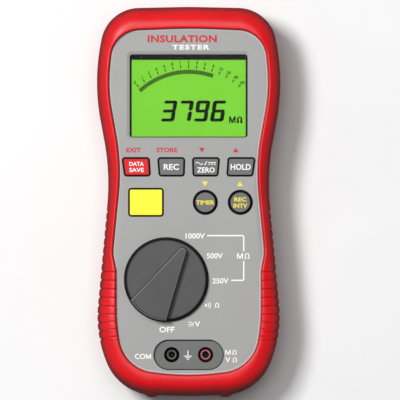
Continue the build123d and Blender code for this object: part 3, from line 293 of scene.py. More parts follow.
def face_material():
    """Grey moulded plastic, painted black as shade low in the key, knob and socket openings, and round the
    sockets.
    """
    mat, tree, shader, place = nodes_of("face_plastic")
    grey = mixed(tree, patches(tree, place, 25, 4.0), (0.352, 0.352, 0.346), (0.374, 0.374, 0.368))
    across = combined(tree, "ABSOLUTE", coordinate(tree, place, "X"))
    along = coordinate(tree, place, "Y")
    high = combined(tree, "GREATER_THAN", coordinate(tree, place), (FACE - 0.12) * MM)
    (low_y, low_x), (high_y, high_x) = KEYS_SIDE
    key_side = ramp(tree, along, low_y * MM, high_y * MM, low_x * MM, high_x * MM)
    beside = combined(tree, "GREATER_THAN", across, key_side)
    above = combined(tree, "GREATER_THAN", along, KEYS_TOP * MM)
    half_width, bottom, top = TERMINAL_BOX
    terminals = combined(tree, "LESS_THAN", along, top * MM)
    terminals = combined(tree, "MULTIPLY", terminals, combined(tree, "LESS_THAN", across, half_width * MM))
    terminals = combined(tree, "MULTIPLY", terminals, combined(tree, "GREATER_THAN", along, bottom * MM))
    below = combined(tree, "SUBTRACT", combined(tree, "LESS_THAN", along, WELL_BOTTOM * MM), terminals)
    plain = high
    for area in (beside, above, below):
        plain = combined(tree, "MAXIMUM", plain, area)
    # painted shade in a thin band round the sockets' opening
    beyond = combined(tree, "MAXIMUM", combined(tree, "SUBTRACT", across, TERMINAL_HALF_SPAN * MM), 0.0)
    offset = combined(tree, "ADD", along, -SOCKET_Y * MM)
    clear = combined(tree, "GREATER_THAN", diagonal(tree, beyond, offset), TERMINAL_RADIUS * MM)
    plain = combined(tree, "MULTIPLY", plain, clear)
    # painted shade: black wherever the face is not left grey
    tree.links.new(mixed(tree, plain, (0.006, 0.006, 0.006), grey), shader.inputs["Base Color"])
    tree.links.new(patches(tree, place, 150, 3.0, 0.5, 0.6), shader.inputs["Roughness"])
    shader.inputs["Specular IOR Level"].default_value = 0.18
    bumped(tree, shader, [(noise(tree, place, 2200, 2.0), 0.00005)])
    return mat


def edge_shaded(name, color, shade_color, shade_height, rough=0.5, specular=0.4, soft=0.05):
    """Moulded plastic with painted shade below a height, where its edge rolls away from the light."""
    mat, tree, shader, place = nodes_of(name)
    top = mixed(tree, patches(tree, place, 40, 4.0), shade(color, 0.95), shade(color, 1.05))
    low, high = (shade_height - soft) * MM, (shade_height + soft) * MM
    unshaded_share = ramp(tree, coordinate(tree, place), low, high, 0.0, 1.0)
    # painted shade: the dark colour below the height
    tree.links.new(mixed(tree, unshaded_share, shade_color, top), shader.inputs["Base Color"])
    tree.links.new(patches(tree, place, 240, 3.0, rough - 0.05, rough + 0.05), shader.inputs["Roughness"])
    shader.inputs["Specular IOR Level"].default_value = specular
    bumped(tree, shader, [(noise(tree, place, 2400, 2.0), 0.00005)])
    return mat


def knob_material():
    """The knob's plastic, with painted shade black down its rim and a patchy painted highlight on the
    pointer's upper edge.
    """
    mat = edge_shaded("knob_plastic", (0.088, 0.088, 0.088), (0.003, 0.003, 0.003), KNOB_EDGE, 0.55, 0.15)
    tree = mat.node_tree
    shader = tree.nodes["Principled BSDF"]
    place = tree.nodes["Texture Coordinate"].outputs["Object"]
    base = shader.inputs["Base Color"].links[0].from_socket
    across = combined(tree, "SUBTRACT", coordinate(tree, place, "X"), KNOB[0] * MM)
    along = combined(tree, "SUBTRACT", coordinate(tree, place, "Y"), KNOB[1] * MM)
    rim_start, rim_full = ((KNOB_RADIUS - inset) * MM for inset in KNOB_RIM)
    rim = ramp(tree, diagonal(tree, across, along), rim_start, rim_full, 0.0, 1.0)
    # painted shade: black down the knob's rim
    base = mixed(tree, rim, base, (0.004, 0.004, 0.004))
    rounded_over = combined(tree, "LESS_THAN", facing_up(tree), 0.97)
    near_top = combined(tree, "GREATER_THAN", coordinate(tree, place), POINTER_EDGE * MM)
    edge_highlight = combined(tree, "MULTIPLY", rounded_over, near_top)
    edge_highlight = combined(tree, "MULTIPLY", edge_highlight, patches(tree, place, 260, 3.0, 0.55, 1.0))
    # painted highlight along the pointer's upper edge
    tree.links.new(mixed(tree, edge_highlight, base, (0.19, 0.19, 0.19)), shader.inputs["Base Color"])
    return mat


MATERIALS = {
    "holster_rubber": holster_material(),
    "face_plastic": face_material(),
    "back_plastic": moulded("back_plastic", (0.10, 0.105, 0.105), 0.6, 0.1, 1500, 0.00012),
    "seal_rubber": moulded("seal_rubber", (0.012, 0.012, 0.012), 0.7),
    "screw_steel": metal("screw_steel", (0.55, 0.55, 0.56), 0.32),
    "pin_steel": metal("pin_steel", (0.6, 0.6, 0.6), 0.25),
    "light_guide": moulded("light_guide", (0.7, 0.85, 0.55), 0.3),
    "frame_plastic": moulded("frame_plastic", (0.02, 0.02, 0.02), 0.5),
    "zebra_rubber": moulded("zebra_rubber", (0.05, 0.05, 0.05), 0.6),
    # each key's and socket's second colour is painted shade below its edge height
    "key_red": edge_shaded("key_red", (0.66, 0.009, 0.015), (0.02, 0.001, 0.001), KEY_EDGE, 0.5, 0.2),
    "key_grey": edge_shaded("key_grey", (0.16, 0.16, 0.16), (0.003, 0.003, 0.003), KEY_EDGE, 0.55, 0.2),
    "key_yellow": edge_shaded("key_yellow", (0.98, 0.92, 0.03), (0.035, 0.03, 0.003), KEY_EDGE, 0.5, 0.25),
    "membrane_rubber": moulded("membrane_rubber", (0.5, 0.5, 0.47), 0.7),
    "knob_plastic": knob_material(),
    "switch_plastic": moulded("switch_plastic", (0.6, 0.6, 0.54), 0.5),
    "contact_brass": metal("contact_brass", (0.72, 0.52, 0.22), 0.28),
    "terminal_plastic": moulded(
        "terminal_plastic", (0.155, 0.160, 0.156), 0.55, 0.1, 2200, 0.00005, 25, 0.04, 0.2),
    "socket_black": edge_shaded(
        "socket_black", (0.055, 0.055, 0.058), (0.002, 0.002, 0.002), SOCKET_EDGE, 0.5, 0.12, 0.12),
    "socket_red": edge_shaded("socket_red", (0.55, 0.08, 0.10), (0.045, 0.001, 0.003), SOCKET_EDGE, 0.4, 0.2, 0.12),
    "board_green": moulded("board_green", (0.01, 0.12, 0.03), 0.4, 0.1, 500, 0.00003, 200, 0.2),
    "ferrite": moulded("ferrite", (0.03, 0.03, 0.032), 0.75, 0.1, 900, 0.0001),
    "coil_tape": moulded("coil_tape", (0.7, 0.48, 0.03), 0.35),
    "capacitor_plastic": moulded("capacitor_plastic", (0.02, 0.04, 0.3), 0.35),
    "resistor_blue": moulded("resistor_blue", (0.06, 0.2, 0.38), 0.4),
    "relay_plastic": moulded("relay_plastic", (0.01, 0.01, 0.01), 0.35),
    "chip_black": moulded("chip_black", (0.012, 0.012, 0.012), 0.6),
    "fuse_ceramic": moulded("fuse_ceramic", (0.75, 0.74, 0.7), 0.5),
    "spring_steel": metal("spring_steel", (0.62, 0.62, 0.62), 0.25),
    "cell_wrap": moulded("cell_wrap", (0.02, 0.03, 0.05), 0.3),
    "lead_red": moulded("lead_red", (0.4, 0.01, 0.01), 0.5),
}


def lens_material():
    """A clear flat window: mostly see-through, with a soft reflection."""
    mat, tree, shader, place = nodes_of("lens_clear")
    shader.inputs["Base Color"].default_value = (0.01, 0.012, 0.01, 1.0)
    shader.inputs["Alpha"].default_value = 0.06
    shader.inputs["Specular IOR Level"].default_value = 0.25
    tree.links.new(patches(tree, place, 300, 4.0, 0.05, 0.12), shader.inputs["Roughness"])
    mat.blend_method = "BLEND"
    return mat


def lcd_material():
    """Liquid crystal glass with its green light behind it: a little uneven across the panel."""
    mat, tree, shader, place = nodes_of("lcd_glass")
    color = mixed(tree, patches(tree, place, 14, 2.0), (0.148, 0.51, 0.018), (0.168, 0.56, 0.024))
    tree.links.new(color, shader.inputs["Base Color"])
    tree.links.new(color, shader.inputs["Emission Color"])
    shader.inputs["Emission Strength"].default_value = 0.34
    tree.links.new(patches(tree, place, 3000, 2.0, 0.35, 0.45), shader.inputs["Roughness"])
    shader.inputs["Specular IOR Level"].default_value = 0.08
    return mat


MATERIALS["lens_clear"] = lens_material()
MATERIALS["lcd_glass"] = lcd_material()
INKS = {
    "ink_white": moulded("ink_white", (0.9, 0.9, 0.9), 0.6, 0.08, 4000, 0.00001, 400, 0.03),
    "ink_red": moulded("ink_red", (0.52, 0.012, 0.022), 0.6, 0.08, 4000, 0.00001, 400, 0.05),
    "ink_yellow": moulded("ink_yellow", (0.85, 0.72, 0.03), 0.6, 0.08, 4000, 0.00001, 400, 0.05),
    # black painted shade round the keys' openings
    "gap_shade_black": moulded("gap_shade_black", (0.003, 0.003, 0.003), 0.7, 0.08, 4000, 0.00001, 400, 0.2, 0.1),
    "lcd_ink": moulded("lcd_ink", (0.004, 0.010, 0.003), 0.7, 0.08, 4000, 0.00001, 400, 0.2, 0.05),
    "lcd_faint": moulded("lcd_faint", (0.008, 0.022, 0.004), 0.7, 0.08, 4000, 0.00001, 400, 0.2, 0.05),
    # black of the LCD's mask, and painted shade at its top
    "mask_and_shade_black": moulded("mask_and_shade_black", (0.003, 0.003, 0.007), 0.6, 0.08, 4000, 0.00001, 400, 0.2, 0.08),
    # a paler copy of the face's grey: painted highlight on the bead
    "bead_highlight_grey": moulded("bead_highlight_grey", (0.60, 0.575, 0.55), 0.45, 0.08, 2200, 0.00003, 60, 0.03),
}


def socket_metal():
    """Nickel-plated sleeves: their own bright metal at the mouth, and painted shade dark down the bore."""
    mat, tree, shader, place = nodes_of("socket_metal")
    mouth = ramp(tree, coordinate(tree, place), SLEEVE_MOUTH[0] * MM, SLEEVE_MOUTH[1] * MM, 0.0, 1.0)
    streaks = ramp(tree, noise(tree, place, 900, 4.0, 0.7), 0.3, 0.7, 0.0, 1.0)
    bright = mixed(tree, streaks, (0.10, 0.095, 0.09), (0.15, 0.145, 0.14))
    # painted shade: dark down the bore
    tree.links.new(mixed(tree, mouth, (0.012, 0.010, 0.008), bright), shader.inputs["Base Color"])
    tree.links.new(ramp(tree, streaks, 0.0, 1.0, 0.3, 0.45), shader.inputs["Roughness"])
    shader.inputs["Metallic"].default_value = 0.9
    bumped(tree, shader, [(streaks, 0.00001)])
    return mat


SOCKET_METAL = socket_metal()
SLEEVES = ("com_contact", "test_contact")
for part in frame["record"]["subparts"]:
    target = NODES[part["node"]]
    chosen = SOCKET_METAL if part["node"] in SLEEVES else MATERIALS[part["material_slot"]]
    if not target.material_slots:
        target.data.materials.append(chosen)
    for material_slot in target.material_slots:
        material_slot.material = chosen


# ---------------------------------------------------------------- making pieces
def piece(name, vertices, faces, material, body="case", smooth=0):
    """A mesh piece in millimetres that rides on a CAD body, shaded smooth over edges up to an angle."""
    mesh = bpy.data.meshes.new(name)
    mesh.from_pydata([tuple(c * MM for c in v) for v in vertices], [], faces)
    mesh.update()
    mesh.materials.append(material)
    shown = bpy.data.objects.new(name, mesh)
    bpy.context.scene.collection.objects.link(shown)
    tidy = bmesh.new()
    tidy.from_mesh(mesh)
    bmesh.ops.recalc_face_normals(tidy, faces=tidy.faces)
    tidy.to_mesh(mesh)
    tidy.free()
    if smooth:
        mesh.shade_smooth()
        mesh.set_sharp_from_angle(angle=math.radians(smooth))
    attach(shown, body)
    return shown


def round_off(points, rounds, spacing):
    """Points along a closed polygon with a radius at each corner."""
    course = []
    for i, corner in enumerate(points):
        before = (points[i - 1] - corner).normalized()
        after = (points[(i + 1) % len(points)] - corner).normalized()
        half = math.acos(max(-1, min(1, before.dot(after)))) / 2
        reach = rounds[i] / math.tan(half)
        start = corner + before * reach
        end = corner + after * reach
        middle = corner + (before + after).normalized() * (rounds[i] / math.sin(half))
        turn = math.pi - 2 * half
        first = (start - middle).to_3d()
        way = 1 if first.cross((end - middle).to_3d()).z > 0 else -1
        steps = max(2, round(turn * rounds[i] / spacing))
        for k in range(steps + 1):
            course.append(middle + (Matrix.Rotation(way * turn * k / steps, 2) @ (start - middle)))
    dense = []
    for a, b in zip(course, course[1:] + course[:1]):
        count = max(1, round((b - a).length / spacing))
        dense += [a.lerp(b, k / count) for k in range(count) if (b - a).length > spacing * 0.01]
    return np.array(dense)


def outline(corners, radii, spacing):
    """Points along a rounded polygon, alike on both sides, given its right half from top to bottom."""
    points = [Vector(c) for c in corners] + [Vector((-x, y)) for x, y in reversed(corners[1:-1])]
    return round_off(points, radii + radii[-2:0:-1], spacing)


def outward(points):
    """Unit normals that point out of a closed outline that runs clockwise."""
    along = np.roll(points, -1, axis=0) - np.roll(points, 1, axis=0)
    along /= np.linalg.norm(along, axis=1)[:, None]
    return np.stack([-along[:, 1], along[:, 0]], axis=1)


def offset_loop(points, distance):
    """The outline moved that far inward."""
    return points - outward(points) * distance


def reach_to(points, normals, ring):
    """How far in from each point, against its normal, the ring lies."""
    start, end = ring, np.roll(ring, -1, axis=0)
    span = end - start
    result = np.zeros(len(points))
    for i, (p, n) in enumerate(zip(points, -normals)):
        cross = n[0] * span[:, 1] - n[1] * span[:, 0]
        cross = np.where(np.abs(cross) < 1e-9, 1e-9, cross)
        gap = start - p
        distance = (gap[:, 0] * span[:, 1] - gap[:, 1] * span[:, 0]) / cross
        share = (gap[:, 0] * n[1] - gap[:, 1] * n[0]) / cross
        hits = distance[(share >= 0) & (share <= 1) & (distance > 0)]
        result[i] = hits.min()
    return result


def grid_faces(around, across):
    """The faces of a grid of points that closes on itself both ways."""
    faces = []
    for i in range(around):
        j = (i + 1) % around
        for k in range(across):
            m = (k + 1) % across
            faces.append((i * across + k, j * across + k, j * across + m, i * across + m))
    return faces


# ---------------------------------------------------------------- holster
def holster_section(reach):
    """The holster's section where its front reaches that far in.

    It is two lists of (distance in from the outside, height). The first goes from the back lip round the
    front to the opening's edge, and the second goes on down the inside.
    """
    outside = [(BACK_LIP, 2.05), (BACK_LIP, 0.7), (BACK_LIP - 0.25, 0.2), (BACK_LIP - 0.8, 0.02)]
    outside += [(d, 0.0) for d in (10.4, 9.2, 8.2, 7.4)]
    for a in np.linspace(0.12, math.pi / 2, 9):
        outside.append((BACK_ROUND - BACK_ROUND * math.sin(a), BACK_ROUND - BACK_ROUND * math.cos(a)))
    outside += [(0.0, z) for z in (10, 14, 18, 22, 26, 30, 34, 37)]
    to_edge = reach - RIM_EDGE
    for a in np.linspace(0.0, 1.0, 18):
        d = to_edge * (1 - math.cos(a * math.pi / 2)) if a < 1 else to_edge
        rise = math.sqrt(1 - ((CROWN - min(d, CROWN)) / CROWN) ** 2)
        outside.append((d, SHOULDER + CROWN * rise))
    low = outside[-1][1] - RIM_EDGE
    for a in np.linspace(0.15, 1.0, 6) * math.pi / 2:
        outside.append((to_edge + RIM_EDGE * math.sin(a), low + RIM_EDGE * math.cos(a)))
    inside = [(reach, FACE + 0.12), (reach - 1.2, FACE + 0.1), (5.2, FACE + 0.1), (3.9, 44.3), (WALL, 42.4)]
    inside += [(WALL, 30), (WALL, 18), (WALL, 8.5), (4.0, 4.2), (6.4, 2.3), (8.5, 2.05)]
    return outside, inside


def fade(value, start, length):
    """From 0 at the start to 1 a length further on."""
    return max(0.0, min(1.0, (value - start) / length))


def groove_depth(y, height, side, flank):
    """How deep the grip grooves are at a place on the holster; flank is 1 on its side and 0 on its front."""
    place = (y - LOWEST_GROOVE) / GROOVE_PITCH
    nearest = round(place)
    if side < GRIP_FROM or nearest < 0 or nearest > SIDE_GROOVES - 1:
        return 0.0
    gap = abs(place - nearest) * GROOVE_PITCH
    bulge = 1 - gap * 2 / GROOVE_PITCH
    deepest = FRONT_GROOVE_DEPTH + (FLANK_GROOVE_DEPTH - FRONT_GROOVE_DEPTH) * flank
    depth = deepest * math.exp(-((gap / GROOVE_HALF_WIDTH) ** 2)) + BULGE * bulge**2 * flank
    if nearest >= FRONT_GROOVES:
        depth *= 1 - fade(height, *UPPER_FADE)
    return depth * fade(height, *LOWER_FADE)


def foot_height(x, y, height):
    """How far the two feet on the lower end stand out."""
    if y > LOWER_END:
        return 0.0
    across = math.exp(-((abs(abs(x) - FOOT_X) / FOOT_HALF_WIDTH) ** 4))
    below_top = 1 / (1 + math.exp((height - FOOT_HIGH) / 1.2))
    above_bottom = 1 / (1 + math.exp((FOOT_LOW - height) / 0.8))
    return FOOT_DEPTH * across * below_top * above_bottom


def outline_step(x, y):
    """How far apart the holster's points are at a place: close in the grips and at the feet."""
    if abs(x) > GRIP_FROM and LOWEST_GROOVE - 4 < y < LOWEST_GROOVE + SIDE_GROOVES * GROOVE_PITCH:
        return 0.3
    return 0.6 if y < LOWER_END and abs(x) < FOOT_X + 7 else 1.2


def make_holster():
    """The rubber holster as one grid: round the outline, and round its section."""
    dense = outline(OUTER_CORNERS, OUTER_RADII, 0.1)
    normals = outward(dense)
    keep = []
    travelled = math.inf
    for i, (x, y) in enumerate(dense):
        if travelled >= outline_step(x, y) - 1e-6:
            keep.append(i)
            travelled = 0.0
        travelled += np.linalg.norm(dense[(i + 1) % len(dense)] - dense[i])
    points, normals = dense[keep] - normals[keep] * EDGE_MARGIN, normals[keep]
    reaches = reach_to(points, normals, outline(OPENING_CORNERS, OPENING_RADII, 0.5))
    vertices = []
    for (x, y), normal, reach in zip(points, normals, reaches):
        outside, inside = holster_section(reach)
        for k, (d, z) in enumerate(outside + inside):
            push = 0.0
            if LIP_POINTS < k < len(outside):
                push = foot_height(x, y, z) * (1 - fade(d, 0.0, FOOT_REACH))
                push -= groove_depth(y, z, abs(x), 1 - fade(d, 0.0, FLANK_WIDTH))
            lean = fade(d, 0.0, LEAN_WIDTH)
            inward = d - push * (1 - lean)
            vertices.append((x - normal[0] * inward, y - normal[1] * inward, z + min(0.0, push) * lean))
    faces = grid_faces(len(points), len(outside + inside))
    boot = piece("holster_boot", vertices, faces, MATERIALS["holster_rubber"], "case", 50)
    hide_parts("holster")


make_holster()


def make_face_bead():
    """The thin raised bead on the face that follows the holster's opening, paler than the face as a painted
    highlight.
    """
    ring = outline(OPENING_CORNERS, OPENING_RADII, 1.5)
    outside = outline(OUTER_CORNERS, OUTER_RADII, 0.5)
    section = [(0.32, -0.1), (0.36, 0.12), (0.48, 0.2), (0.66, 0.2), (0.78, 0.12), (0.82, -0.1)]
    loops = [offset_loop(ring, inset) for inset, _ in section]
    vertices = []
    for i, spot in enumerate(offset_loop(ring, 0.6)):
        into = np.hypot(*(outside - spot).T).min() - CASE_INSET
        short = max(0.0, CASE_ROUND - into)
        level = FACE - (CASE_ROUND - math.sqrt(CASE_ROUND**2 - short**2))
        vertices += [(*loop[i], level + rise) for loop, (_, rise) in zip(loops, section)]
    piece("face_bead", vertices, grid_faces(len(ring), len(section)), INKS["bead_highlight_grey"], smooth=60)


make_face_bead()


# ---------------------------------------------------------------- flat printed shapes
INK_DEPTH = 0.04
CAP_HEIGHT = 0.729  # height of a capital of the built-in font, as a share of its size


def plate(name, loops, low, material, body="case"):
    """Printed shapes, each an outline of points, that stand one ink's depth above a height."""
    high = low + INK_DEPTH
    vertices, faces = [], []
    for loop in loops:
        base = len(vertices)
        count = len(loop)
        vertices += [(x, y, low) for x, y in loop] + [(x, y, high) for x, y in loop]
        faces.append([base + i for i in reversed(range(count))])
        faces.append([base + count + i for i in range(count)])
        for i in range(count):
            j = (i + 1) % count
            faces.append((base + i, base + j, base + count + j, base + count + i))
    return piece(name, vertices, faces, material, body)


def ring_plate(name, outer, inner, low, high, material):
    """A flat ring between two outlines with the same number of points."""
    vertices = []
    for loop, z in ((outer, low), (inner, low), (inner, high), (outer, high)):
        vertices += [(x, y, z) for x, y in loop]
    return piece(name, vertices, grid_faces(4, len(outer)), material)


def rounded(x0, y0, x1, y1, radius, steps=6):
    """The outline of a rectangle with rounded corners, anticlockwise."""
    loop = []
    for cx, cy, start in ((x1 - radius, y1 - radius, 0), (x0 + radius, y1 - radius, 90),
                          (x0 + radius, y0 + radius, 180), (x1 - radius, y0 + radius, 270)):
        for k in range(steps + 1):
            a = math.radians(start + 90 * k / steps)
            loop.append((cx + radius * math.cos(a), cy + radius * math.sin(a)))
    return loop


def arc_band(x, y, outer, inner, start, end, steps):
    """A band between two arcs, given by their radii across and upwards, between two angles in degrees."""
    angles = [math.radians(start + (end - start) * k / steps) for k in range(steps + 1)]
    edges = [[(x + rx * math.cos(a), y + ry * math.sin(a)) for a in angles] for rx, ry in (outer, inner)]
    return edges[0] + edges[1][::-1]


def round_band(x, y, radius, line, start, end, steps):
    """A band of that width along a circle's arc."""
    return arc_band(x, y, [radius + line / 2] * 2, [radius - line / 2] * 2, start, end, steps)


def stroke(points, width):
    """Outlines of the straight strokes between the points, one for each."""
    loops = []
    for a, b in zip(points, points[1:]):
        a, b = Vector(a), Vector(b)
        side = (b - a).normalized().orthogonal() * width / 2
        loops.append([tuple(a - side), tuple(b - side), tuple(b + side), tuple(a + side)])
    return loops


def wave(x, y, width, height, line):
    """One period of a sine as a single ribbon."""
    shares = np.linspace(0, 1, 11)
    middle = [(x + (t - 0.5) * width, y + height * math.sin(2 * math.pi * t)) for t in shares]
    return [(px, py - line / 2) for px, py in middle] + [(px, py + line / 2) for px, py in reversed(middle)]


def dashes(x, y, width, line, gap):
    """The direct-current sign: a full line over three short ones."""
    loops = [rounded(x - width / 2, y + gap / 2, x + width / 2, y + gap / 2 + line, line * 0.2, 1)]
    short = width / 4
    for i in (-1, 0, 1):
        cx = x + i * width * 0.375
        loops.append(rounded(cx - short / 2, y - gap / 2 - line, cx + short / 2, y - gap / 2, line * 0.2, 1))
    return loops


def lettering(name, text, x, y, height, material, body="case", z=FACE, width=None, weight=0.03, spacing=1.0):
    """Printed letters whose capitals are that high, centred on x and y."""
    curve = bpy.data.curves.new(name, "FONT")
    curve.body = text
    curve.size = 1.0
    curve.space_character = spacing
    curve.offset = weight * 0.72
    curve.resolution_u = 3
    curve.extrude = 0.5
    shown = bpy.data.objects.new(name + "_curve", curve)
    bpy.context.scene.collection.objects.link(shown)
    bpy.context.view_layer.update()
    mesh = bpy.data.meshes.new_from_object(shown.evaluated_get(bpy.context.evaluated_depsgraph_get()))
    bpy.data.objects.remove(shown)
    places = np.array([v.co[:] for v in mesh.vertices])
    low, high = places.min(axis=0), places.max(axis=0)
    tall = height / CAP_HEIGHT
    wide = width / (high[0] - low[0]) if width else tall
    middle = (low + high) / 2
    for v, p in zip(mesh.vertices, places):
        v.co = (
            (x + (p[0] - middle[0]) * wide) * MM,
            (y + (p[1] - middle[1]) * tall) * MM,
            (z + (p[2] + 0.5) * INK_DEPTH) * MM,
        )
    mesh.materials.clear()
    mesh.materials.append(material)
    mesh.name = name
    made = bpy.data.objects.new(name, mesh)
    bpy.context.scene.collection.objects.link(made)
    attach(made, body)
    return made


def letter_m(name, x, y, height, width, line, material, z=FACE):
    """A capital M of straight strokes, centred on x and y."""
    w, h = width / 2, height / 2
    slope = line * 1.15
    loop = [
        (-w, -h), (-w + line, -h), (-w + line, h - 1.9 * slope), (-line * 0.5, -h), (line * 0.5, -h),
        (w - line, h - 1.9 * slope), (w - line, -h), (w, -h), (w, h), (w - line * 1.25, h),
        (0, -h + 1.7 * slope), (-w + line * 1.25, h), (-w, h),
    ]
    plate(name, [[(x + px, y + py) for px, py in loop]], z, material)


def omega(name, x, y, height, line, material, z=FACE):
    """The ohm sign: an open ring on two feet, centred on x and y."""
    width = height * 0.95
    half_opening = 26
    rx, ry = width * 0.44 - line / 2, (height - line) / 2
    outer = (rx + line / 2, ry + line * 0.4)
    inner = (rx - line / 2, ry - line * 0.4)
    ring = arc_band(x, y + line * 0.1, outer, inner, half_opening - 90, 270 - half_opening, 28)
    near, far = width * 0.1, width * (0.1 + 0.32 * 1.2)
    low = y - height / 2
    feet = []
    for left, right in ((x - far, x - near), (x + near, x + far)):
        feet.append([(left, low), (right, low), (right, low + line), (left, low + line)])
    plate(name, [ring] + feet, z, material)


# ---------------------------------------------------------------- display
# the LCD's black mask border; its wider band at the top is painted shade of the window's upper wall
MASK_AND_SHADE_AREA = (-34.4, 34.6, 34.4, 84.8)
LCD_AREA = (-32.1, 36.8, 32.1, 80.0)
MASK_CORNER = 0.4
LCD_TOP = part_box("lcd_panel")[1].z / MM
INK_LOW = LCD_TOP + 0.01
MASK_HIGH = LCD_TOP + 0.12
mask_and_shade_edges = [rounded(*area, MASK_CORNER) for area in (MASK_AND_SHADE_AREA, LCD_AREA)]
ring_plate("lcd_mask_and_shade", *mask_and_shade_edges, INK_LOW, MASK_HIGH, INKS["mask_and_shade_black"])

FIRST_DIGIT = (-15.9, 45.3)
DIGIT_STEP = 9.25
DIGIT_W, DIGIT_H = 7.7, 11.8
FLAT_STROKE, UPRIGHT_STROKE = 1.7, 2.25
SLANT = math.tan(math.radians(10))
SEGMENTS = {"3": "abgcd", "6": "afgecd", "7": "abc", "9": "abcdfg"}


def segment_loops(digit, x, y):
    """The lit segments of one seven-segment digit, as slanted outlines."""
    w, h = DIGIT_W, DIGIT_H
    gap = 0.12
    flat_places = {"a": (h, -1), "g": (h / 2, 0), "d": (0, 1)}  # height, and which way is into the digit
    upright_places = {"f": (0, h / 2), "b": (w, h / 2), "e": (0, 0), "c": (w, 0)}
    loops = []
    for letter in SEGMENTS[digit]:
        if letter in flat_places:
            s = FLAT_STROKE / 2
            level, way = flat_places[letter]
            a, b, c = gap, w - gap, level + way * s
            loop = [(a + s, c - s), (b - s, c - s), (b, c), (b - s, c + s), (a + s, c + s), (a, c)]
        else:
            s, tip = UPRIGHT_STROKE / 2, UPRIGHT_STROKE * 0.32
            side, low = upright_places[letter]
            a, b, c = low + gap, low + h / 2 - gap, (side - s if side else s)
            loop = [(c + s, a + tip), (c + s, b - tip), (c, b), (c - s, b - tip), (c - s, a + tip), (c, a)]
        loops.append([(x + px + py * SLANT, y + py) for px, py in loop])
    return loops


digit_loops = []
for index, digit in enumerate("3796"):
    digit_loops += segment_loops(digit, FIRST_DIGIT[0] + DIGIT_STEP * index, FIRST_DIGIT[1])
plate("lcd_digits", digit_loops, INK_LOW, INKS["lcd_ink"])

UNIT_SPOT, UNIT_HEIGHT = (24.6, 46.3), 3.7
letter_m("lcd_unit", *UNIT_SPOT, UNIT_HEIGHT, 3.7, 0.72, INKS["lcd_ink"], INK_LOW)
omega("lcd_unit_sign", UNIT_SPOT[0] + 4.1, UNIT_SPOT[1], UNIT_HEIGHT, 0.95, INKS["lcd_ink"], INK_LOW)

ARC_CENTRE, ARC_RADIUS = (0.0, 32.8), 40.5
BAR_COUNT, FIRST_BAR, BAR_STEP = 39, -42, 1.605  # angles in degrees, clockwise from straight up
BAR_LENGTH, BAR_WIDTH = 2.3, 0.86
SCALE = ("0", ".1", ".2", ".4", ".6", ".8", "1", "2", "4", "6", "8", "10", "20", "40", "60")
SCALE_SPAN = 82.6
MARK_ENDS, MARK_WIDTH = (42.6, 44.3), 0.6
NUMBER_RADIUS, NUMBER_HEIGHT = 45.9, 1.7
NUMBERS_TOP = 78.6  # the middle numbers stand no higher than this


def radial(angle, inner, outer, width):
    """A bar that points away from the arc's centre, at an angle clockwise from straight up."""
    a = math.radians(angle)
    away, along = Vector((math.sin(a), math.cos(a))), Vector((math.cos(a), -math.sin(a)))
    centre = Vector(ARC_CENTRE)
    corners = ((inner, -1), (inner, 1), (outer, 1), (outer, -1))
    return [tuple(centre + away * r + along * (s * width / 2)) for r, s in corners]


bar_ends = (ARC_RADIUS - BAR_LENGTH / 2, ARC_RADIUS + BAR_LENGTH / 2)
bars = [radial(FIRST_BAR + BAR_STEP * i, *bar_ends, BAR_WIDTH) for i in range(BAR_COUNT)]
plate("lcd_bargraph", bars, INK_LOW, INKS["lcd_ink"])
marks = [-SCALE_SPAN / 2 + SCALE_SPAN / (len(SCALE) - 1) * i for i in range(len(SCALE))]
plate("lcd_scale", [radial(a, *MARK_ENDS, MARK_WIDTH) for a in marks], INK_LOW, INKS["lcd_faint"])
for i, (angle, label) in enumerate(zip(marks, SCALE)):
    away = Vector((math.sin(math.radians(angle)), math.cos(math.radians(angle))))
    spot = Vector(ARC_CENTRE) + away * NUMBER_RADIUS
    spot.y = min(spot.y, NUMBERS_TOP)
    lettering(f"lcd_number_{i}", label, spot.x, spot.y, NUMBER_HEIGHT, INKS["lcd_faint"], z=INK_LOW)


# ---------------------------------------------------------------- printing on the face and the keys
lettering("title_upper", "INSULATION", -3.6, 91.8, 3.9, INKS["ink_red"], width=39, weight=0.06, spacing=1.08)
lettering("title_lower", "TESTER", 1.3, 87.1, 2.6, INKS["ink_white"], width=21, weight=0.045, spacing=1.2)
lettering("print_exit", "EXIT", -30.9, 29.2, 2.5, INKS["ink_red"], width=8.2, weight=0.05)
lettering("print_store", "STORE", -12.2, 29.2, 2.5, INKS["ink_red"], width=11.8, weight=0.05)

ARROW = 3.3


def arrow(name, x, y, up, material):
    """A small solid triangle on the face."""
    tip = 1 if up else -1
    foot = y - tip * ARROW * 0.4
    loop = [(x - ARROW / 2, foot), (x + ARROW / 2, foot), (x, y + tip * ARROW * 0.45)]
    plate(name, [loop[::tip]], FACE, material)


for color_name, down_x, up_x, y in (("red", 7.5, 26.5, 29.2), ("yellow", 9.2, 28.9, 10.2)):
    arrow(f"arrow_{color_name}_down", down_x, y, False, INKS[f"ink_{color_name}"])
    arrow(f"arrow_{color_name}_up", up_x, y, True, INKS[f"ink_{color_name}"])


KEY_ROW = (25.0, 14.5)  # top and bottom of the upper row's openings
INNER_KEY = (2.1, 17.5, 16.6, 2.4)  # X of its top left, top right, bottom right, bottom left
OUTER_KEY = (22.1, 37.6, 36.1, 21.4)
SELECT_KEY = (-33.8, -8.1, -14.2, 7.7)
ROUND_KEY_X = (9.4, 29.1)
ROUND_KEY_Y = -0.2
ROUND_KEY_RADIUS = 6.85
KEY_CORNER = 1.6
KEY_GAP_SHADE = 0.26


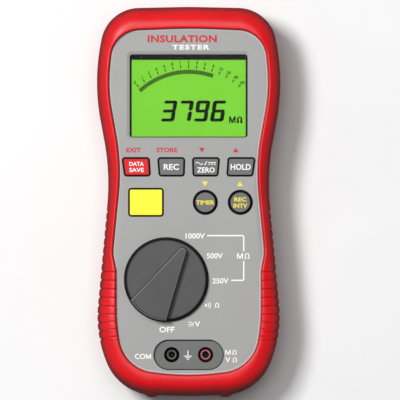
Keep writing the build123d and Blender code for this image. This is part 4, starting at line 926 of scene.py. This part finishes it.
def key_gap_shade(name, opening):
    """A thin black ring round a key's opening: painted shade that widens the gap's shadow."""
    outer, inner = offset_loop(opening, -KEY_GAP_SHADE), offset_loop(opening, 0.03)
    ring_plate(name, outer, inner, FACE - 0.1, FACE + INK_DEPTH, INKS["gap_shade_black"])


row_top, row_low = KEY_ROW
for key_name, corner_xs in (("inner", INNER_KEY), ("outer", OUTER_KEY)):
    for side_name, side in (("left", -1), ("right", 1)):
        corners = [Vector((side * x, y)) for x, y in zip(corner_xs, (row_top, row_top, row_low, row_low))]
        key_gap_shade(f"key_outline_{key_name}_{side_name}", round_off(corners[::side], [KEY_CORNER] * 4, 0.4))
key_gap_shade("key_outline_select", np.array(rounded(*SELECT_KEY, KEY_CORNER))[::-1])
for side_name, x in zip(("left", "right"), ROUND_KEY_X):
    turns = np.linspace(0, -2 * math.pi, 48, endpoint=False)
    circle = np.stack([np.cos(turns), np.sin(turns)], axis=1) * ROUND_KEY_RADIUS + (x, ROUND_KEY_Y)
    key_gap_shade(f"key_outline_round_{side_name}", circle)


WHITE_KEY_TEXTS = (  # key, end of the piece's name, text, X, Y, height of its capitals, width
    ("capture", "_1", "DATA", -29.3, 21.4, 2.3, 8.2),
    ("capture", "_2", "SAVE", -29.3, 18.0, 2.3, 8.2),
    ("record", "", "REC", -9.7, 19.7, 3.3, 8.6),
    ("zero", "", "ZERO", 9.7, 18.0, 2.9, 10.0),
    ("hold", "", "HOLD", 29.3, 19.7, 3.3, 11.4),
)
YELLOW_KEY_TEXTS = (
    ("timer", "", "TIMER", 9.4, -0.3, 2.3, 10.3),
    ("interval", "_1", "REC", 29.1, 1.4, 2.3, 6.9),
    ("interval", "_2", "INTV", 29.1, -2.1, 2.3, 7.8),
)
for texts, ink, weight in (
    (WHITE_KEY_TEXTS, INKS["ink_white"], 0.03),
    (YELLOW_KEY_TEXTS, INKS["ink_yellow"], 0.045),
):
    for key, ending, text, x, y, height, width in texts:
        name, body = f"key_{key}_text{ending}", f"key_{key}_body"
        lettering(name, text, x, y, height, ink, body, KEY_TOP, width, weight)
zero_signs = [wave(6.0, 21.7, 4.2, 0.6, 0.5)] + stroke([(9.0, 20.7), (10.3, 22.8)], 0.5)
zero_signs += dashes(13.2, 21.7, 4.2, 0.45, 0.5)
plate("key_zero_signs", zero_signs, KEY_TOP, INKS["ink_white"], "key_zero_body")

# ---------------------------------------------------------------- printing round the knob and the sockets
WHITE = INKS["ink_white"]
FACE_TEXTS = (  # name, text, X, Y, height of its capitals, width
    ("range_1000", "1000V", 3.7, -19.1, 3.0, 10.9),
    ("range_500", "500V", 14.7, -30.3, 3.0, 9.0),
    ("range_250", "250V", 17.9, -44.4, 3.0, 9.0),
    ("range_volt", "V", 4.9, -68.7, 3.0, 3.2),
    ("range_off", "OFF", -12.2, -71.8, 3.2, 8.6),
    ("print_com", "CO", -27.35, -86.9, 2.9, 5.9),
    ("print_vohm", "V", 22.0, -88.8, 2.8, 2.8),
)
for name, text, x, y, height, width in FACE_TEXTS:
    lettering(name, text, x, y, height, WHITE, width=width)
letter_m("range_megohm", 28.9, -30.4, 3.2, 3.3, 0.5, WHITE)
letter_m("print_com_m", -22.6, -86.9, 2.7, 3.0, 0.5, WHITE)
letter_m("print_mohm", 22.2, -84.6, 2.8, 3.0, 0.45, WHITE)
omega("range_megohm_sign", 32.9, -30.4, 3.2, 0.56, WHITE)
omega("range_ohm", 16.0, -58.1, 2.8, 0.55, WHITE)
omega("print_mohm_sign", 25.8, -84.6, 2.8, 0.52, WHITE)
omega("print_vohm_sign", 26.0, -88.8, 2.8, 0.52, WHITE)

# the bracket goes from beside 1000V, round the megohm sign, to beside 250V
BRACKET_LINE = 0.75
BRACKET_ROUND = 0.8
BRACKET_X, BRACKET_TOP, BRACKET_LOW = 31.0, -18.95, -44.1
BRACKET_GAP = (-27.8, -33.2)
turn_x = BRACKET_X - BRACKET_ROUND
upper_turn_y, lower_turn_y = BRACKET_TOP - BRACKET_ROUND, BRACKET_LOW + BRACKET_ROUND
bracket = stroke([(10.4, BRACKET_TOP), (turn_x, BRACKET_TOP)], BRACKET_LINE)
bracket += stroke([(BRACKET_X, upper_turn_y), (BRACKET_X, BRACKET_GAP[0])], BRACKET_LINE)
bracket += stroke([(BRACKET_X, BRACKET_GAP[1]), (BRACKET_X, lower_turn_y)], BRACKET_LINE)
bracket += stroke([(turn_x, BRACKET_LOW), (23.9, BRACKET_LOW)], BRACKET_LINE)
bracket.append(round_band(turn_x, upper_turn_y, BRACKET_ROUND, BRACKET_LINE, 0, 90, 6))
bracket.append(round_band(turn_x, lower_turn_y, BRACKET_ROUND, BRACKET_LINE, 270, 360, 6))
plate("range_bracket", bracket, FACE, WHITE)

buzzer_sign = [rounded(9.3, -58.9, 10.2, -57.3, 0.2, 2)]
buzzer_sign += [round_band(9.7, -58.1, radius, 0.44, -42, 42, 8) for radius in (1.5, 2.6)]
plate("range_buzzer_sign", buzzer_sign, FACE, WHITE)
volt_signs = [wave(1.4, -67.9, 3.0, 0.5, 0.45)] + dashes(1.4, -69.4, 3.0, 0.4, 0.5)
plate("range_volt_signs", volt_signs, FACE, WHITE)

TERMINAL_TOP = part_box("terminal_plate")[1].z / MM
earth = [rounded(-0.65, -86.6, -0.15, -83.6, 0.1, 1)]
for k, half in enumerate((2.2, 1.35, 0.55)):
    earth.append(rounded(-0.4 - half, -87.0 - 0.95 * k, -0.4 + half, -86.55 - 0.95 * k, 0.1, 1))
plate("earth_sign", earth, TERMINAL_TOP, WHITE)


# ---------------------------------------------------------------- floor, light and camera
def make_floor():
    """A plain pale floor under the object."""
    mesh = bpy.data.meshes.new("floor")
    half = 3.0
    corners = [(-half, -half, 0), (half, -half, 0), (half, half, 0), (-half, half, 0)]
    mesh.from_pydata(corners, [], [(0, 1, 2, 3)])
    floor = bpy.data.objects.new("floor", mesh)
    bpy.context.scene.collection.objects.link(floor)
    mat, tree, shader, place = nodes_of("floor")
    factor = ramp(tree, noise(tree, place, 8, 3.0), 0.3, 0.7, 0.0, 1.0)
    tree.links.new(mixed(tree, factor, (0.86, 0.86, 0.86), (0.9, 0.9, 0.9)), shader.inputs["Base Color"])
    shader.inputs["Roughness"].default_value = 0.9
    mesh.materials.append(mat)


def area_light(name, place, aim, size, power):
    """A soft square lamp."""
    data = bpy.data.lights.new(name, "AREA")
    data.shape = "RECTANGLE"
    data.size, data.size_y = size
    data.energy = power
    lamp = bpy.data.objects.new(name, data)
    lamp.location = place
    lamp.rotation_euler = (Vector(aim) - Vector(place)).to_track_quat("-Z", "Y").to_euler()
    bpy.context.scene.collection.objects.link(lamp)


make_floor()
area_light("main_light", (-0.62, 0.42, 1.62), (0, 0, 0), (0.4, 0.4), 25)
area_light("fill_light", (0.0, 0.25, 2.0), (0, 0, 0), (0.8, 0.8), 11)
world = bpy.data.worlds.new("studio")
world.use_nodes = True
world.node_tree.nodes["Background"].inputs["Color"].default_value = (1, 1, 1, 1)
world.node_tree.nodes["Background"].inputs["Strength"].default_value = 0.12
bpy.context.scene.world = world
bpy.context.scene.view_settings.view_transform = "Standard"

VIEW_CENTRE = (0.0064, 0.0011)
VIEW_HEIGHT = 0.2256  # what the picture covers at the holster's widest level
VIEW_LEVEL = 0.036
LENS = 600.0
SENSOR = 36.0
camera_data = bpy.data.cameras.new("camera")
camera_data.lens = LENS
camera_data.sensor_width = SENSOR
camera_data.clip_end = 20.0
camera = bpy.data.objects.new("camera", camera_data)
camera.location = (*VIEW_CENTRE, VIEW_LEVEL + VIEW_HEIGHT * LENS / SENSOR)
bpy.context.scene.collection.objects.link(camera)
bpy.context.scene.camera = camera
